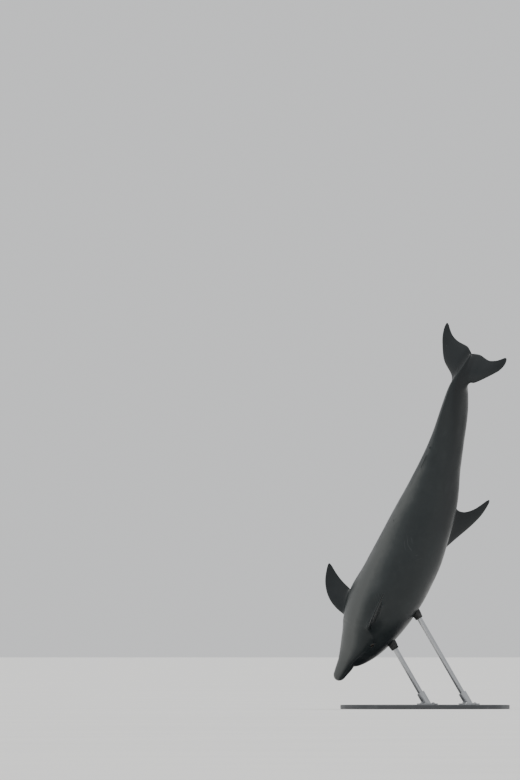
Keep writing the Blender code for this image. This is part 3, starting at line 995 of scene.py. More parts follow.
@dataclass
class Skin:
    """The whole animal's skin in one closed mesh."""

    form: BodyForm
    eye_radius: float
    columns: int = 96
    crowding: float = 0.62
    spans: tuple[tuple[float, int], ...] = (
        (0.015, 7),
        (0.053, 11),
        (0.075, 22),
        (FLIPPER_ROOT[0], 35),
        (FLIPPER_ROOT[1], 20),
        (DORSAL_ROOT[0], 22),
        (DORSAL_ROOT[1], 22),
        (FLUKE_ROOT[0], 32),
        (FLUKE_ROOT[1], 20),
        (0.985, 2),
    )
    tail_point: float = 0.986
    relaxing: tuple[tuple[float, float, int], ...] = (
        (0.0, 0.060, 5),
        (0.0, 0.040, 8),
        (0.0, 0.022, 9),
        (0.88, 0.075, 22),
        (0.88, 0.045, 18),
        (0.88, 0.022, 12),
    )
    crease_patch: tuple[float, float, float] = (0.052, 0.080, 84.0)
    crease_relaxing: int = 3

    def __post_init__(self) -> None:
        """Lay out the rings, and start an empty mesh."""
        self.rings = self.ring_stations()
        self.rim_points: list[Vector] = []
        self.grid: dict[tuple[int, int], Vert] = {}
        self.mesh = bmesh.new()

    def ring_stations(self) -> list[float]:
        """The station of each ring, closing up towards the round snout.

        Returns:
            The stations, in rising order.
        """
        stations: list[float] = []
        start = 0.0
        for end, count in self.spans:
            stations += [start + (end - start) * k / count for k in range(1, count + 1)]
            start = end
        end, first = self.spans[0]
        for k in range(first):
            stations[k] = end * (1 - math.cos(math.pi / 2 * (k + 1) / first))
        return stations

    def angle_of(self, station: float, column: int) -> float:
        """The angle of a column at a station, crowded at the mouth, the back and the belly.

        Args:
            station: the place along the body.
            column: the number of the column.

        Returns:
            Degrees from the middle of the back, negative over the left side.
        """
        turn = 360 * (column % self.columns) / self.columns
        signed = turn if turn <= 180 else turn - 360
        off = abs(signed)
        crowding = self.crowding * (1 - ease(station, 0.18, 0.30))
        off -= math.degrees(crowding / 4) * math.sin(math.radians(4 * off))
        line = self.form.mouth_line(station) if station < 0.16 else 90.0
        off += (line - 90) * math.sin(math.radians(abs(signed))) ** 2
        return math.copysign(off, signed)

    def build(self) -> Mesh:
        """Lay the body, draw in its openings, draw out its fins, and note its markings.

        Returns:
            The closed mesh.
        """
        self.lay_body()
        self.relax_crease()
        form = self.form
        self.draw_in(blowhole())
        for side in Side:
            low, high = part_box("eye_" + side.name.lower())
            self.draw_in(eye_lids(form, side, self.eye_radius, (low + high) / 2))
            self.draw_in(ear_hole(side))
        for slit in Slit:
            self.draw_in(belly_slit(slit))
        self.draw_out(dorsal_fin(form))
        for side in Side:
            self.draw_out(flipper(form, side))
            self.draw_out(fluke(form, side))
        self.relax_roots()
        self.mark()
        return self.mesh

    def layers(self, *names: str) -> list[bmesh.types.BMLayerItem]:
        """The vertices' layers of these names."""
        return [self.mesh.verts.layers.float[name] for name in names]

    def lay_body(self) -> None:
        """The body as a ball whose rings are laid along the spine."""
        mesh, count = self.mesh, len(self.rings)
        bmesh.ops.create_uvsphere(mesh, u_segments=self.columns, v_segments=count + 1, radius=1)
        for name in ("station", "angle", "chord", "side", "reach", "turn", "shade", "tone"):
            mesh.verts.layers.float.new(name)
        station_layer, angle_layer = self.layers("station", "angle")
        for vert in mesh.verts:
            ring = round(math.acos(max(-1.0, min(1.0, vert.co.z))) / math.pi * (count + 1))
            turn = math.atan2(vert.co.y, vert.co.x) / (2 * math.pi)
            if ring == 0:
                vert.co = self.form.surface(0.0, 0.0)
            elif ring == count + 1:
                vert.co = self.form.spine.place(self.tail_point, 0, 0, 0)
                vert[station_layer] = self.tail_point
            else:
                self.grid[ring, round(turn * self.columns) % self.columns] = vert
        for (ring, column), vert in self.grid.items():
            station = self.rings[ring - 1]
            angle = self.angle_of(station, column)
            vert.co = self.form.skin(station, angle)
            vert[station_layer] = station
            vert[angle_layer] = angle

    def merge_patch(self, rows: range, columns: Sequence[int]) -> Face:
        """Make one face of a patch of the body's grid.

        Args:
            rows: the rings of the patch.
            columns: its columns.

        Returns:
            The one face.
        """
        verts = {self.grid[ring, column % self.columns] for ring in rows for column in columns}
        faces = [face for face in self.mesh.faces if verts.issuperset(face.verts)]
        merged = bmesh.ops.dissolve_faces(self.mesh, faces=faces, use_verts=False)["region"]
        self.grid = {key: vert for key, vert in self.grid.items() if vert.is_valid}
        return merged[0]

    def extrude(self, face: Face) -> Face:
        """Draw a face out by one level, and drop the old one.

        Args:
            face: the face to draw out.

        Returns:
            The new face, in the same place.
        """
        drawn = bmesh.ops.extrude_face_region(self.mesh, geom=[face])["geom"]
        bmesh.ops.delete(self.mesh, geom=[face], context="FACES")
        return next(item for item in drawn if isinstance(item, Face))

    def draw_in(self, opening: Opening) -> None:
        """Draw an opening's rings into the skin.

        Args:
            opening: the opening.
        """
        form = self.form
        arc = form.arc(opening.station, opening.angle)
        station_layer, angle_layer = self.layers("station", "angle")
        turn_layer, shade_layer = self.layers("turn", "shade")

        def around(angle: float) -> float:
            """Metres from the opening's middle, away from the back."""
            return ((angle - opening.angle + 180) % 360 - 180) * arc * opening.sense

        def gap(column: int) -> float:
            """Metres from the opening's middle to a column."""
            return abs(around(self.angle_of(opening.station, column)))

        off = [(station - opening.station) * form.length for station in self.rings]
        first = max(k for k, along in enumerate(off) if along < -opening.half_along) + 1
        last = min(k for k, along in enumerate(off) if along > opening.half_along) + 1
        nearest = min(range(self.columns), key=gap)
        wide = 1
        while min(gap(nearest - wide), gap(nearest + wide)) < opening.half_around:
            wide += 1
        columns = range(nearest - wide, nearest + wide + 1)
        face = self.merge_patch(range(first, last + 1), columns)

        turns = {}
        for vert in face.verts:
            along = (vert[station_layer] - opening.station) * form.length
            across = around(vert[angle_layer])
            turns[vert] = math.atan2(across / opening.half_around, along / opening.half_along)
        order = sorted(turns, key=lambda v: turns[v])
        even = [2 * math.pi * k / len(order) for k in range(len(order))]
        start = sum(turns[v] - e for v, e in zip(order, even)) / len(order)
        for vert, e in zip(order, even):
            vert[turn_layer] = start + e
        for ring in opening.rings:
            face = self.extrude(face)
            for vert in face.verts:
                vert.co = opening.point(form, ring, vert[turn_layer])
                vert[shade_layer] = ring.shade
        bmesh.ops.poke(self.mesh, faces=[face])

    def ring_at(self, station: float) -> int:
        """The number of the ring that is nearest to a station."""
        return min(range(len(self.rings)), key=lambda k: abs(self.rings[k] - station)) + 1

    def draw_out(self, fin: Fin) -> None:
        """Draw a fin out of its patch, level by level.

        Args:
            fin: the fin.
        """
        chord_layer, side_layer, reach_layer = self.layers("chord", "side", "reach")
        first, last = self.ring_at(fin.front), self.ring_at(fin.rear)

        def off(column: int) -> float:
            """Degrees from the middle of the fin's patch."""
            turned = self.angle_of(fin.middle, column) - fin.angle
            return (turned + 180) % 360 - 180

        columns = [c for c in range(self.columns) if abs(off(c)) <= fin.half_patch]
        columns.sort(key=off)
        rows = range(first, last + 1)
        for ring in rows:
            for k, column in enumerate(columns):
                vert = self.grid[ring, column]
                vert[chord_layer] = (ring - first) / (last - first)
                vert[side_layer] = 2 * k / (len(columns) - 1) - 1
        face = self.merge_patch(rows, columns)
        for vert in face.verts:
            vert.co = fin.on_skin(vert[chord_layer], vert[side_layer])
            self.rim_points.append(vert.co.copy())
        for level in fin.LEVELS:
            face = self.extrude(face)
            for vert in face.verts:
                vert.co = fin.point(level, vert[chord_layer], vert[side_layer])
                vert[reach_layer] = level
        bmesh.ops.poke(self.mesh, faces=[face])

    def smooth(self, verts: list[Vert], times: int) -> None:
        """Smooth a few vertices several times over.

        Args:
            verts: the vertices.
            times: how many times over.
        """
        axes = {"use_axis_x": True, "use_axis_y": True, "use_axis_z": True}
        for _ in range(times):
            bmesh.ops.smooth_vert(self.mesh, verts=verts, factor=0.5, **axes)

    def relax_crease(self) -> None:
        """Round the fold between the beak and the melon."""
        station_layer, angle_layer = self.layers("station", "angle")
        start, end, off = self.crease_patch
        near = [v for v in self.mesh.verts if start < v[station_layer] < end]
        self.smooth([v for v in near if abs(v[angle_layer]) < off], self.crease_relaxing)

    def relax_roots(self) -> None:
        """Let each fin's root flow into the body."""
        tree = KDTree(len(self.rim_points))
        for k, point in enumerate(self.rim_points):
            tree.insert(point, k)
        tree.balance()
        near = {vert: tree.find(vert.co)[2] for vert in self.mesh.verts}
        (station_layer,) = self.layers("station")
        for start, radius, times in self.relaxing:
            chosen = [v for v, gap in near.items() if gap < radius and v[station_layer] > start]
            self.smooth(chosen, times)

    def mark(self) -> None:
        """Note the tone of the markings at each point."""
        markings = Markings(self.form)
        station_layer, angle_layer, tone_layer = self.layers("station", "angle", "tone")
        side_layer, reach_layer = self.layers("side", "reach")
        for vert in self.mesh.verts:
            station, angle, reach = vert[station_layer], vert[angle_layer], vert[reach_layer]
            tone = markings.tone(station, abs(angle))
            if reach > 0:
                under = vert[side_layer] * (1 if angle >= 0 else -1)
                tone = markings.fin_tone(tone, reach, under, abs(angle))
            vert[tone_layer] = tone


class Markings:
    """The countershading of the animal: 0 is the dark cape, 0.5 the flank and 1 the pale belly."""

    CAPE_SOFTNESS = 17.0
    BELLY_SOFTNESS = 25.0
    STRIPE = 0.22
    BLAZE = 0.13
    FACE_END = 0.26

    def __init__(self, form: BodyForm) -> None:
        """Lay out the edges of the cape and of the belly.

        Args:
            form: the body.
        """
        self.form = form
        self.cape_edge = Line(
            (0.0, 0.06, 0.12, 0.20, 0.30, 0.42, 0.50, 0.60, 0.70, 0.80, 0.88, 1.0),
            (76.0, 74.0, 74.0, 72.0, 68.0, 68.0, 76.0, 92.0, 110.0, 132.0, 152.0, 172.0),
        )
        self.belly_edge = Line(
            (0.0, 0.06, 0.12, 0.17, 0.25, 0.35, 0.48, 0.60, 0.70, 0.78, 0.85, 1.0),
            (110.0, 120.0, 135.0, 146.0, 153.0, 158.0, 162.0, 168.0, 177.0, 188.0, 200.0, 206.0),
        )
        self.blaze_line = Line((0.18, 0.30, 0.42, 0.52, 0.62), (86.0, 72.0, 56.0, 38.0, 30.0))

    def tone(self, station: float, off: float) -> float:
        """The tone of the body's skin at a station, off degrees from the middle of the back.

        Args:
            station: the place along the body.
            off: degrees from the back, on either side.

        Returns:
            The tone, 0 to 1.
        """
        cape, belly = self.cape_edge(station), self.belly_edge(station)
        tone = 0.5 * ease(off, cape - self.CAPE_SOFTNESS, cape + self.CAPE_SOFTNESS)
        tone += 0.5 * ease(off, belly - self.BELLY_SOFTNESS, belly + self.BELLY_SOFTNESS)
        along = between(station, 0.18, 0.30, 0.54, 0.66)
        tone += self.BLAZE * along * bump(off - self.blaze_line(station), 12)
        if station < self.FACE_END:
            tone -= self.face_stripes(station, off)
        return min(max(tone, 0.0), 1.0)

    def face_stripes(self, station: float, off: float) -> float:
        """The dark lines from the melon to the eye, round the eye, and from it to the flipper.

        Args:
            station: the place along the body.
            off: degrees from the back, on either side.

        Returns:
            How much darker the tone is there.
        """
        eye, at = self.form.eye_station, self.form.eye_angle
        arc = self.form.arc(min(max(station, 0.01), 0.9), off)
        to_beak = between(station, 0.060, 0.072, eye - 0.004, eye + 0.004)
        line = 76 + (at - 76) * ease(station, 0.060, eye)
        stripe = 0.8 * to_beak * bump((off - line) * arc, 0.009)
        to_fin = between(station, eye, eye + 0.01, 0.168, 0.185)
        line = at + (116 - at) * ease(station, eye, 0.180)
        stripe += 0.9 * to_fin * bump((off - line) * arc, 0.011)
        ring = math.hypot((station - eye) * self.form.length, (off - at) * arc)
        stripe += 1.3 * bump(ring, 0.024)
        lips = (1 - ease(station, 0.105, 0.118)) * bump((off - 93) * arc, 0.0050)
        to_blowhole = between(station, 0.060, 0.070, 0.112, 0.124)
        pale = 0.35 * to_blowhole * bump((off - 9) * arc, 0.007)
        return self.STRIPE * (stripe + 0.7 * lips - pale)

    @staticmethod
    def fin_tone(root: float, reach: float, under: float, off: float) -> float:
        """The tone of a fin: dark above, and a little paler below near its root.

        Args:
            root: the tone of the body at its root.
            reach: the part of the span.
            under: across the fin, 1 on its lower side.
            off: degrees from the back, on either side.

        Returns:
            The tone, 0 to 1.
        """
        below = ease(under, -0.2, 0.8) if off > 45 else 0.0
        flat = 0.03 + 0.20 * below * (1 - ease(reach, 0.45, 0.95))
        return root + (flat - root) * ease(reach, 0.0, 0.14)


WAVE_TURNS = 20.0  # radians of the wave texture for each unit of its scaled place


class Shader:
    """A material with a Principled shader that is fed node by node."""

    def __init__(self, name: str) -> None:
        """Start a material with nothing but its shader.

        Args:
            name: the material's name.
        """
        self.material = bpy.data.materials.new(name)
        self.material.use_nodes = True
        self.tree = self.material.node_tree
        self.surface = self.tree.nodes["Principled BSDF"]
        coordinates = self.tree.nodes.new("ShaderNodeTexCoord")
        self.place = coordinates.outputs["Object"]

    def set(self, **inputs: float | Colour) -> None:
        """Set constants on the Principled shader, with _ for each space in a socket's name."""
        for name, value in inputs.items():
            self.surface.inputs[name.replace("_", " ")].default_value = value

    def feed(self, name: str, socket: Socket) -> None:
        """Feed one socket of the Principled shader."""
        self.tree.links.new(socket, self.surface.inputs[name])

    def node(self, kind: str, inputs: dict, **settings: object) -> bpy.types.Node:
        """A node with its settings, and its inputs each set to a value or fed by a socket.

        Args:
            kind: the node's type.
            inputs: a value or a socket for each input.
            settings: the node's own settings.

        Returns:
            The node.
        """
        made = self.tree.nodes.new(kind)
        for name, value in settings.items():
            setattr(made, name, value)
        for key, value in inputs.items():
            if isinstance(value, Socket):
                self.tree.links.new(value, made.inputs[key])
            else:
                made.inputs[key].default_value = value
        return made

    def attribute(self, name: str) -> Socket:
        """A value noted on the mesh."""
        return self.node("ShaderNodeAttribute", {}, attribute_name=name).outputs["Fac"]

    def mapped(self, turn: Sequence[float], scale: Sequence[float] = (1, 1, 1)) -> Socket:
        """The place on the model, turned in degrees and then stretched.

        Args:
            turn: the turn about each axis.
            scale: the stretch along each axis.

        Returns:
            The mapped place.
        """
        radians = [math.radians(angle) for angle in turn]
        turned = self.node("ShaderNodeMapping", {"Vector": self.place, "Rotation": radians})
        stretched = {"Vector": turned.outputs[0], "Scale": tuple(scale)}
        return self.node("ShaderNodeMapping", stretched).outputs[0]

    def noise(
        self, scale: float, detail: float, roughness: float, place: Socket | None = None
    ) -> Socket:
        """Cloudy noise of so many features per metre.

        Args:
            scale: features per metre.
            detail: how many finer layers.
            roughness: how strong those are.
            place: where it is read, or nothing for the place on the model.

        Returns:
            The noise, about 0.3 to 0.7.
        """
        inputs = {
            "Vector": place or self.place,
            "Scale": scale,
            "Detail": detail,
            "Roughness": roughness,
        }
        return self.node("ShaderNodeTexNoise", inputs).outputs[0]

    def fit(self, value: Socket, low: float, high: float, start: float, end: float) -> Socket:
        """A smooth change from start, at the value low, to end, at the value high.

        Args:
            value: the value that leads.
            low: where the change starts.
            high: where the change ends.
            start: what comes out at low.
            end: what comes out at high.

        Returns:
            The changed value.
        """
        inputs = {
            "Value": value,
            "From Min": low,
            "From Max": high,
            "To Min": start,
            "To Max": end,
        }
        made = self.node("ShaderNodeMapRange", inputs, interpolation_type="SMOOTHSTEP")
        return made.outputs[0]

    def maths(self, kind: str, first: object, second: object = 0.0) -> Socket:
        """A sum, product or the like of two values."""
        return self.node("ShaderNodeMath", {0: first, 1: second}, operation=kind).outputs[0]

    def ramp(self, value: Socket, stops: Iterable[tuple[float, Colour]]) -> Socket:
        """Colours along a value.

        Args:
            value: the value, 0 to 1.
            stops: the place and colour of each stop.

        Returns:
            The colour.
        """
        made = self.node("ShaderNodeValToRGB", {0: value})
        elements = made.color_ramp.elements
        elements.remove(elements[1])
        for k, (place, colour) in enumerate(stops):
            element = elements[0] if k == 0 else elements.new(place)
            element.position = place
            element.color = colour
        return made.outputs[0]

    def blend(self, part: object, under: object, over: object) -> Socket:
        """One colour laid over another, by how large a part."""
        inputs = {0: part, 6: under, 7: over}
        return self.node("ShaderNodeMix", inputs, data_type="RGBA").outputs[2]

    def relief(self, height: Socket, depth: float, under: Socket | None = None) -> Socket:
        """A bumped normal: height from 0 to 1 over a depth in metres.

        Args:
            height: the height.
            depth: how deep that is.
            under: a normal to add to.

        Returns:
            The normal.
        """
        inputs: dict = {"Height": height, "Distance": depth, "Strength": 1.0}
        if under is not None:
            inputs["Normal"] = under
        return self.node("ShaderNodeBump", inputs).outputs[0]


@dataclass(frozen=True)
class RakeMarks:
    """One direction of healed scratches: sets of fine parallel lines on parts of the skin."""

    turn: tuple[float, float, float]
    spacing: float
    patches: float
    rarity: float


@dataclass(frozen=True)
class SkinFinish:
    """Wet dolphin skin: countershaded, softly mottled, with a few healed scratches."""

    cape: Colour = rgb(0.0085, 0.0108, 0.0120)
    cape_edge: Colour = rgb(0.0115, 0.0145, 0.0160)
    flank: Colour = rgb(0.0145, 0.0182, 0.0192)
    low_flank: Colour = rgb(0.0220, 0.0268, 0.0275)
    belly: Colour = rgb(0.0640, 0.0685, 0.0670)
    scratch: Colour = rgb(0.0600, 0.0660, 0.0680)
    shadow: Colour = rgb(0.006, 0.006, 0.007)
    rakes: tuple[RakeMarks, ...] = (
        RakeMarks((0, 24, 12), 0.0110, 7.0, 0.665),
        RakeMarks((35, -50, 60), 0.0095, 8.0, 0.670),
        RakeMarks((80, 15, -40), 0.0125, 6.5, 0.675),
    )

    def make(self) -> bpy.types.Material:
        """Build the material.

        Returns:
            The material.
        """
        shader = Shader("dolphin skin")
        tone = shader.attribute("tone")
        cloud = shader.fit(shader.noise(3.2, 3, 0.5), 0.3, 0.7, -0.055, 0.055)
        mottle = shader.fit(shader.noise(24, 5, 0.6), 0.3, 0.7, -0.026, 0.026)
        speckle = shader.fit(shader.noise(240, 2, 0.5), 0.3, 0.7, -0.014, 0.014)
        mixed = shader.maths("ADD", tone, cloud)
        mixed = shader.maths("ADD", mixed, mottle)
        mixed = shader.maths("ADD", mixed, speckle)
        stops = (
            (0.0, self.cape),
            (0.20, self.cape_edge),
            (0.48, self.flank),
            (0.66, self.low_flank),
            (0.95, self.belly),
        )
        colour = shader.ramp(mixed, stops)
        scratches = self.scratches(shader)
        colour = shader.blend(scratches, colour, self.scratch)
        spots = shader.node("ShaderNodeTexVoronoi", {"Vector": shader.place, "Scale": 5.5})
        spot = shader.fit(spots.outputs["Distance"], 0.014, 0.030, 0.35, 0.0)
        colour = shader.blend(spot, colour, self.scratch)
        shade = shader.attribute("shade")
        colour = shader.blend(shader.fit(shade, 0.1, 1.0, 0.0, 0.93), colour, self.shadow)
        shader.feed("Base Color", colour)

        film = shader.fit(shader.noise(9, 4, 0.6), 0.32, 0.68, 0.30, 0.44)
        dull = shader.maths("MULTIPLY", scratches, 0.22)
        shader.feed("Roughness", shader.maths("ADD", film, dull))
        swell = shader.noise(13, 3, 0.5)
        grain = shader.noise(520, 2, 0.5)
        normal = shader.relief(swell, 0.0009)
        normal = shader.relief(grain, 0.00006, normal)
        normal = shader.relief(scratches, -0.0004, normal)
        shader.feed("Normal", normal)
        shader.set(Specular_IOR_Level=0.26, Coat_Weight=0.07, Coat_Roughness=0.12)
        return shader.material

    def scratches(self, shader: Shader) -> Socket:
        """How far each place is covered by scratches.

        Args:
            shader: the skin's shader.

        Returns:
            The cover, 0 to 1.
        """
        found: object = 0.0
        for rake in self.rakes:
            place = shader.mapped(rake.turn)
            inputs = {
                "Vector": place,
                "Scale": 2 * math.pi / (WAVE_TURNS * rake.spacing),
                "Distortion": 2.2,
                "Detail": 1.0,
                "Detail Scale": 0.6,
            }
            wave = shader.node("ShaderNodeTexWave", inputs, wave_profile="SIN").outputs["Fac"]
            line = shader.fit(wave, 0.955, 0.995, 0.0, 0.45)
            stretched = shader.mapped(rake.turn, (rake.patches, rake.patches * 0.8, rake.patches))
            patch = shader.noise(1.0, 2, 0.5, place=stretched)
            patch = shader.fit(patch, rake.rarity - 0.03, rake.rarity + 0.03, 0.0, 1.0)
            found = shader.maths("MAXIMUM", shader.maths("MULTIPLY", line, patch), found)
        off_face = shader.fit(shader.attribute("station"), 0.20, 0.27, 0.0, 1.0)
        on_body = shader.fit(shader.attribute("reach"), 0.0, 0.1, 1.0, 0.0)
        return shader.maths("MULTIPLY", found, shader.maths("MULTIPLY", off_face, on_body))


@dataclass(frozen=True)
class EyeFinish:
    """A dark brown eye with its wide dark pupil, all wet."""

    pupil: Colour = rgb(0.0015, 0.0017, 0.0020)
    iris: Colour = rgb(0.026, 0.0135, 0.0065)
    rim: Colour = rgb(0.0050, 0.0035, 0.0028)
    white: Colour = rgb(0.0180, 0.0120, 0.0100)

    def make(self) -> bpy.types.Material:
        """Build the material, which reads the angle from the pupil noted on the mesh.

        Returns:
            The material.
        """
        shader = Shader("eye")
        polar = shader.attribute("polar")
        fibres = shader.fit(shader.noise(900, 3, 0.6), 0.3, 0.7, -0.025, 0.025)
        place = shader.maths("ADD", polar, fibres)
        stops = (
            (0.0, self.pupil),
            (0.20, self.pupil),
            (0.235, self.iris),
            (0.36, self.iris),
            (0.40, self.rim),
            (0.46, self.rim),
            (0.54, self.white),
        )
        shader.feed("Base Color", shader.ramp(place, stops))
        shader.set(Roughness=0.25, Specular_IOR_Level=0.12, Coat_Weight=0.35, Coat_Roughness=0.03)
        return shader.material


@dataclass(frozen=True)
class PaintFinish:
    """Satin charcoal paint on board, with a little dust and rubbed spots."""

    paint: Colour = rgb(0.040, 0.043, 0.047)
    rubbed: Colour = rgb(0.075, 0.079, 0.084)
    dust: Colour = rgb(0.200, 0.195, 0.185)

    def make(self) -> bpy.types.Material:
        """Build the material.

        Returns:
            The material.
        """
        shader = Shader("charcoal paint")
        worn = shader.fit(shader.noise(7, 6, 0.65), 0.50, 0.74, 0.0, 0.8)
        colour = shader.blend(worn, self.paint, self.rubbed)
        dust = shader.fit(shader.noise(310, 3, 0.6), 0.63, 0.74, 0.0, 0.35)
        colour = shader.blend(dust, colour, self.dust)
        shader.feed("Base Color", colour)
        shader.feed("Roughness", shader.fit(shader.noise(11, 5, 0.6), 0.3, 0.7, 0.40, 0.56))
        peel = shader.relief(shader.noise(260, 2, 0.5), 0.00018)
        shader.feed("Normal", peel)
        return shader.material


@dataclass(frozen=True)
class SteelFinish:
    """Stainless steel, brushed along one direction."""

    name: str = "brushed steel"
    steel: Colour = rgb(0.56, 0.57, 0.58)
    dark: Colour = rgb(0.36, 0.37, 0.385)
    turn: tuple[float, float, float] = (0.0, 0.0, 0.0)
    grain: tuple[float, float, float] = (900.0, 900.0, 14.0)

    def make(self) -> bpy.types.Material:
        """Build the material.

        Returns:
            The material.
        """
        shader = Shader(self.name)
        brushed = shader.noise(1.0, 4, 0.6, place=shader.mapped(self.turn, self.grain))
        smears = shader.noise(19, 4, 0.6)
        colour = shader.blend(shader.fit(brushed, 0.25, 0.75, 0.0, 1.0), self.dark, self.steel)
        colour = shader.blend(shader.fit(smears, 0.5, 0.75, 0.0, 0.35), colour, self.dark)
        shader.feed("Base Color", colour)
        rough = shader.fit(brushed, 0.2, 0.8, 0.24, 0.38)
        rough = shader.maths("ADD", rough, shader.fit(smears, 0.4, 0.8, 0.0, 0.12))
        shader.feed("Roughness", rough)
        shader.feed("Normal", shader.relief(brushed, 0.00006))
        shader.set(Metallic=1.0)
        return shader.material


@dataclass(frozen=True)
class RubberFinish:
    """Matt black rubber with a fine grain and a little bloom."""

    rubber: Colour = rgb(0.017, 0.017, 0.018)
    bloom: Colour = rgb(0.050, 0.049, 0.047)

    def make(self) -> bpy.types.Material:
        """Build the material.

        Returns:
            The material.
        """
        shader = Shader("rubber")
        bloom = shader.fit(shader.noise(38, 5, 0.6), 0.45, 0.72, 0.0, 0.8)
        shader.feed("Base Color", shader.blend(bloom, self.rubber, self.bloom))
        shader.feed("Roughness", shader.fit(shader.noise(60, 3, 0.5), 0.3, 0.7, 0.62, 0.82))
        shader.feed("Normal", shader.relief(shader.noise(900, 2, 0.5), 0.00012))
        return shader.material


@dataclass(frozen=True)
class FloorFinish:
    """A pale matt studio floor."""

    pale: Colour = rgb(0.74, 0.735, 0.72)
    soiled: Colour = rgb(0.70, 0.695, 0.68)

    def make(self) -> bpy.types.Material:
        """Build the material.

        Returns:
            The material.
        """
        shader = Shader("studio floor")
        cloud = shader.fit(shader.noise(0.35, 5, 0.55), 0.3, 0.7, 0.0, 1.0)
        shader.feed("Base Color", shader.blend(cloud, self.pale, self.soiled))
        shader.set(Roughness=0.85)
        return shader.material


def finished_object(
    name: str, mesh: Mesh, finish: bpy.types.Material, sharp: float = 35.0
) -> bpy.types.Object:
    """Make an object of a closed bmesh, which is freed, with edges over an angle left sharp.

    Args:
        name: the object's name.
        mesh: the bmesh.
        finish: the material.
        sharp: the angle in degrees, or 180 for none.

    Returns:
        The object, in the scene.
    """
    bmesh.ops.recalc_face_normals(mesh, faces=mesh.faces)
    if mesh.calc_volume(signed=True) < 0:
        bmesh.ops.reverse_faces(mesh, faces=mesh.faces)
    data = bpy.data.meshes.new(name)
    mesh.to_mesh(data)
    mesh.free()
    data.shade_smooth()
    if sharp < 180:
        data.set_sharp_from_angle(angle=math.radians(sharp))
    data.materials.append(finish)
    made = bpy.data.objects.new(name, data)
    bpy.context.scene.collection.objects.link(made)
    return made


def register(piece: bpy.types.Object, nodes: Iterable[str]) -> None:
    """Let a piece ride on the model, in place of CAD nodes, and log it.

    Args:
        piece: the finished piece.
        nodes: the CAD nodes that it stands for.
    """
    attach(piece, BODY)
    for node in nodes:
        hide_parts(node)
    LOG.info("%s: %d faces", piece.name, len(piece.data.polygons))


def turned(profile: Sequence[tuple[float, float]], place: Matrix, steps: int = 96) -> Mesh:
    """A solid of revolution.

    Args:
        profile: radius and height of each point, from the axis at the bottom round to the axis at
            the top, or a closed loop off the axis.
        place: where the axis, Z, goes in the model.
        steps: the number of steps round.

    Returns:
        The closed mesh.
    """
    mesh = bmesh.new()
    verts = [mesh.verts.new((radius, 0, height)) for radius, height in profile]
    for first, second in zip(verts, verts[1:]):
        mesh.edges.new((first, second))
    if profile[0][0] > 0:
        mesh.edges.new((verts[-1], verts[0]))
    bmesh.ops.spin(
        mesh,
        geom=mesh.verts[:] + mesh.edges[:],
        cent=(0, 0, 0),
        axis=(0, 0, 1),
        angle=2 * math.pi,
        steps=steps,
        use_merge=True,
    )
    bmesh.ops.remove_doubles(mesh, verts=mesh.verts, dist=1e-6)
    bmesh.ops.transform(mesh, matrix=place, verts=mesh.verts)
    return mesh


def cut_level(mesh: Mesh, point: Vector) -> None:
    """Cut off what lies below a point, and close the cut.

    Args:
        mesh: the mesh.
        point: a point at the level of the cut.
    """
    cut = bmesh.ops.bisect_plane(
        mesh,
        geom=mesh.verts[:] + mesh.edges[:] + mesh.faces[:],
        dist=1e-7,
        plane_co=point,
        plane_no=(0, 0, -1),
        clear_outer=True,
    )["geom_cut"]
    edges = [item for item in cut if isinstance(item, bmesh.types.BMEdge)]
    bmesh.ops.edgeloop_fill(mesh, edges=edges)


def rounded(centre: Place, radius: float, sweep: float = 90.0, steps: int = 6) -> list[Place]:
    """An arc of a profile about its centre, anticlockwise from its outermost point."""
    turns = [math.radians(sweep * k / steps) for k in range(steps + 1)]
    return [(centre[0] + radius * math.cos(t), centre[1] + radius * math.sin(t)) for t in turns]


@dataclass
class Animal:
    """The animal: its skin and its two eyes, set on the frame of the CAD model."""

    flesh: tuple[str, ...] = (
        "upper_beak", "lower_jaw", "head", "blowhole", "chest", "belly", "loin", "tail_stock",
        "fluke_base", "fluke_right", "fluke_left", "dorsal_fin", "flipper_right", "flipper_left",
    )  # fmt: skip
    cornea_radius: float = 0.34
    cornea_height: float = 0.9 * MM
    eye_turns: int = 64
    eye_rings: int = 48

    def __post_init__(self) -> None:
        """Read the size of the eyes."""
        self.form = BodyForm()
        low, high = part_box("eye_right")
        self.eye_radius = (high - low).x / 2

    def build(self) -> None:
        """Make the skin and the eyes."""
        skin = Skin(self.form, self.eye_radius)
        piece = finished_object("dolphin_skin", skin.build(), SkinFinish().make(), sharp=180)
        rounding = piece.modifiers.new("rounding", "SUBSURF")
        rounding.levels = 1
        rounding.render_levels = 1
        register(piece, self.flesh)
        finish = EyeFinish().make()
        for side in Side:
            self.build_eye(side, finish)

    def build_eye(self, side: Side, finish: bpy.types.Material) -> None:
        """One eyeball with its cornea, looking straight out of the head.

        Args:
            side: the head's side.
            finish: the eye's material.
        """
        node = "eye_" + side.name.lower()
        low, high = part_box(node)
        outward = self.form.normal(self.form.eye_station, side.value * self.form.eye_angle)
        turn = outward.to_track_quat("Z", "Y").to_matrix().to_4x4()
        mesh = bmesh.new()
        bmesh.ops.create_uvsphere(
            mesh, u_segments=self.eye_turns, v_segments=self.eye_rings, radius=self.eye_radius
        )
        layer = mesh.verts.layers.float.new("polar")
        for vert in mesh.verts:
            polar = vert.co.angle(Vector((0, 0, 1))) / (math.pi / 2)
            vert[layer] = polar
            swell = self.cornea_height * (1 - ease(polar, 0.0, self.cornea_radius * 1.5))
            vert.co *= 1 + swell / self.eye_radius
        place = Matrix.Translation((low + high) / 2) @ turn
        bmesh.ops.transform(mesh, matrix=place, verts=mesh.verts)
        register(finished_object("eyeball_" + side.name.lower(), mesh, finish), [node])


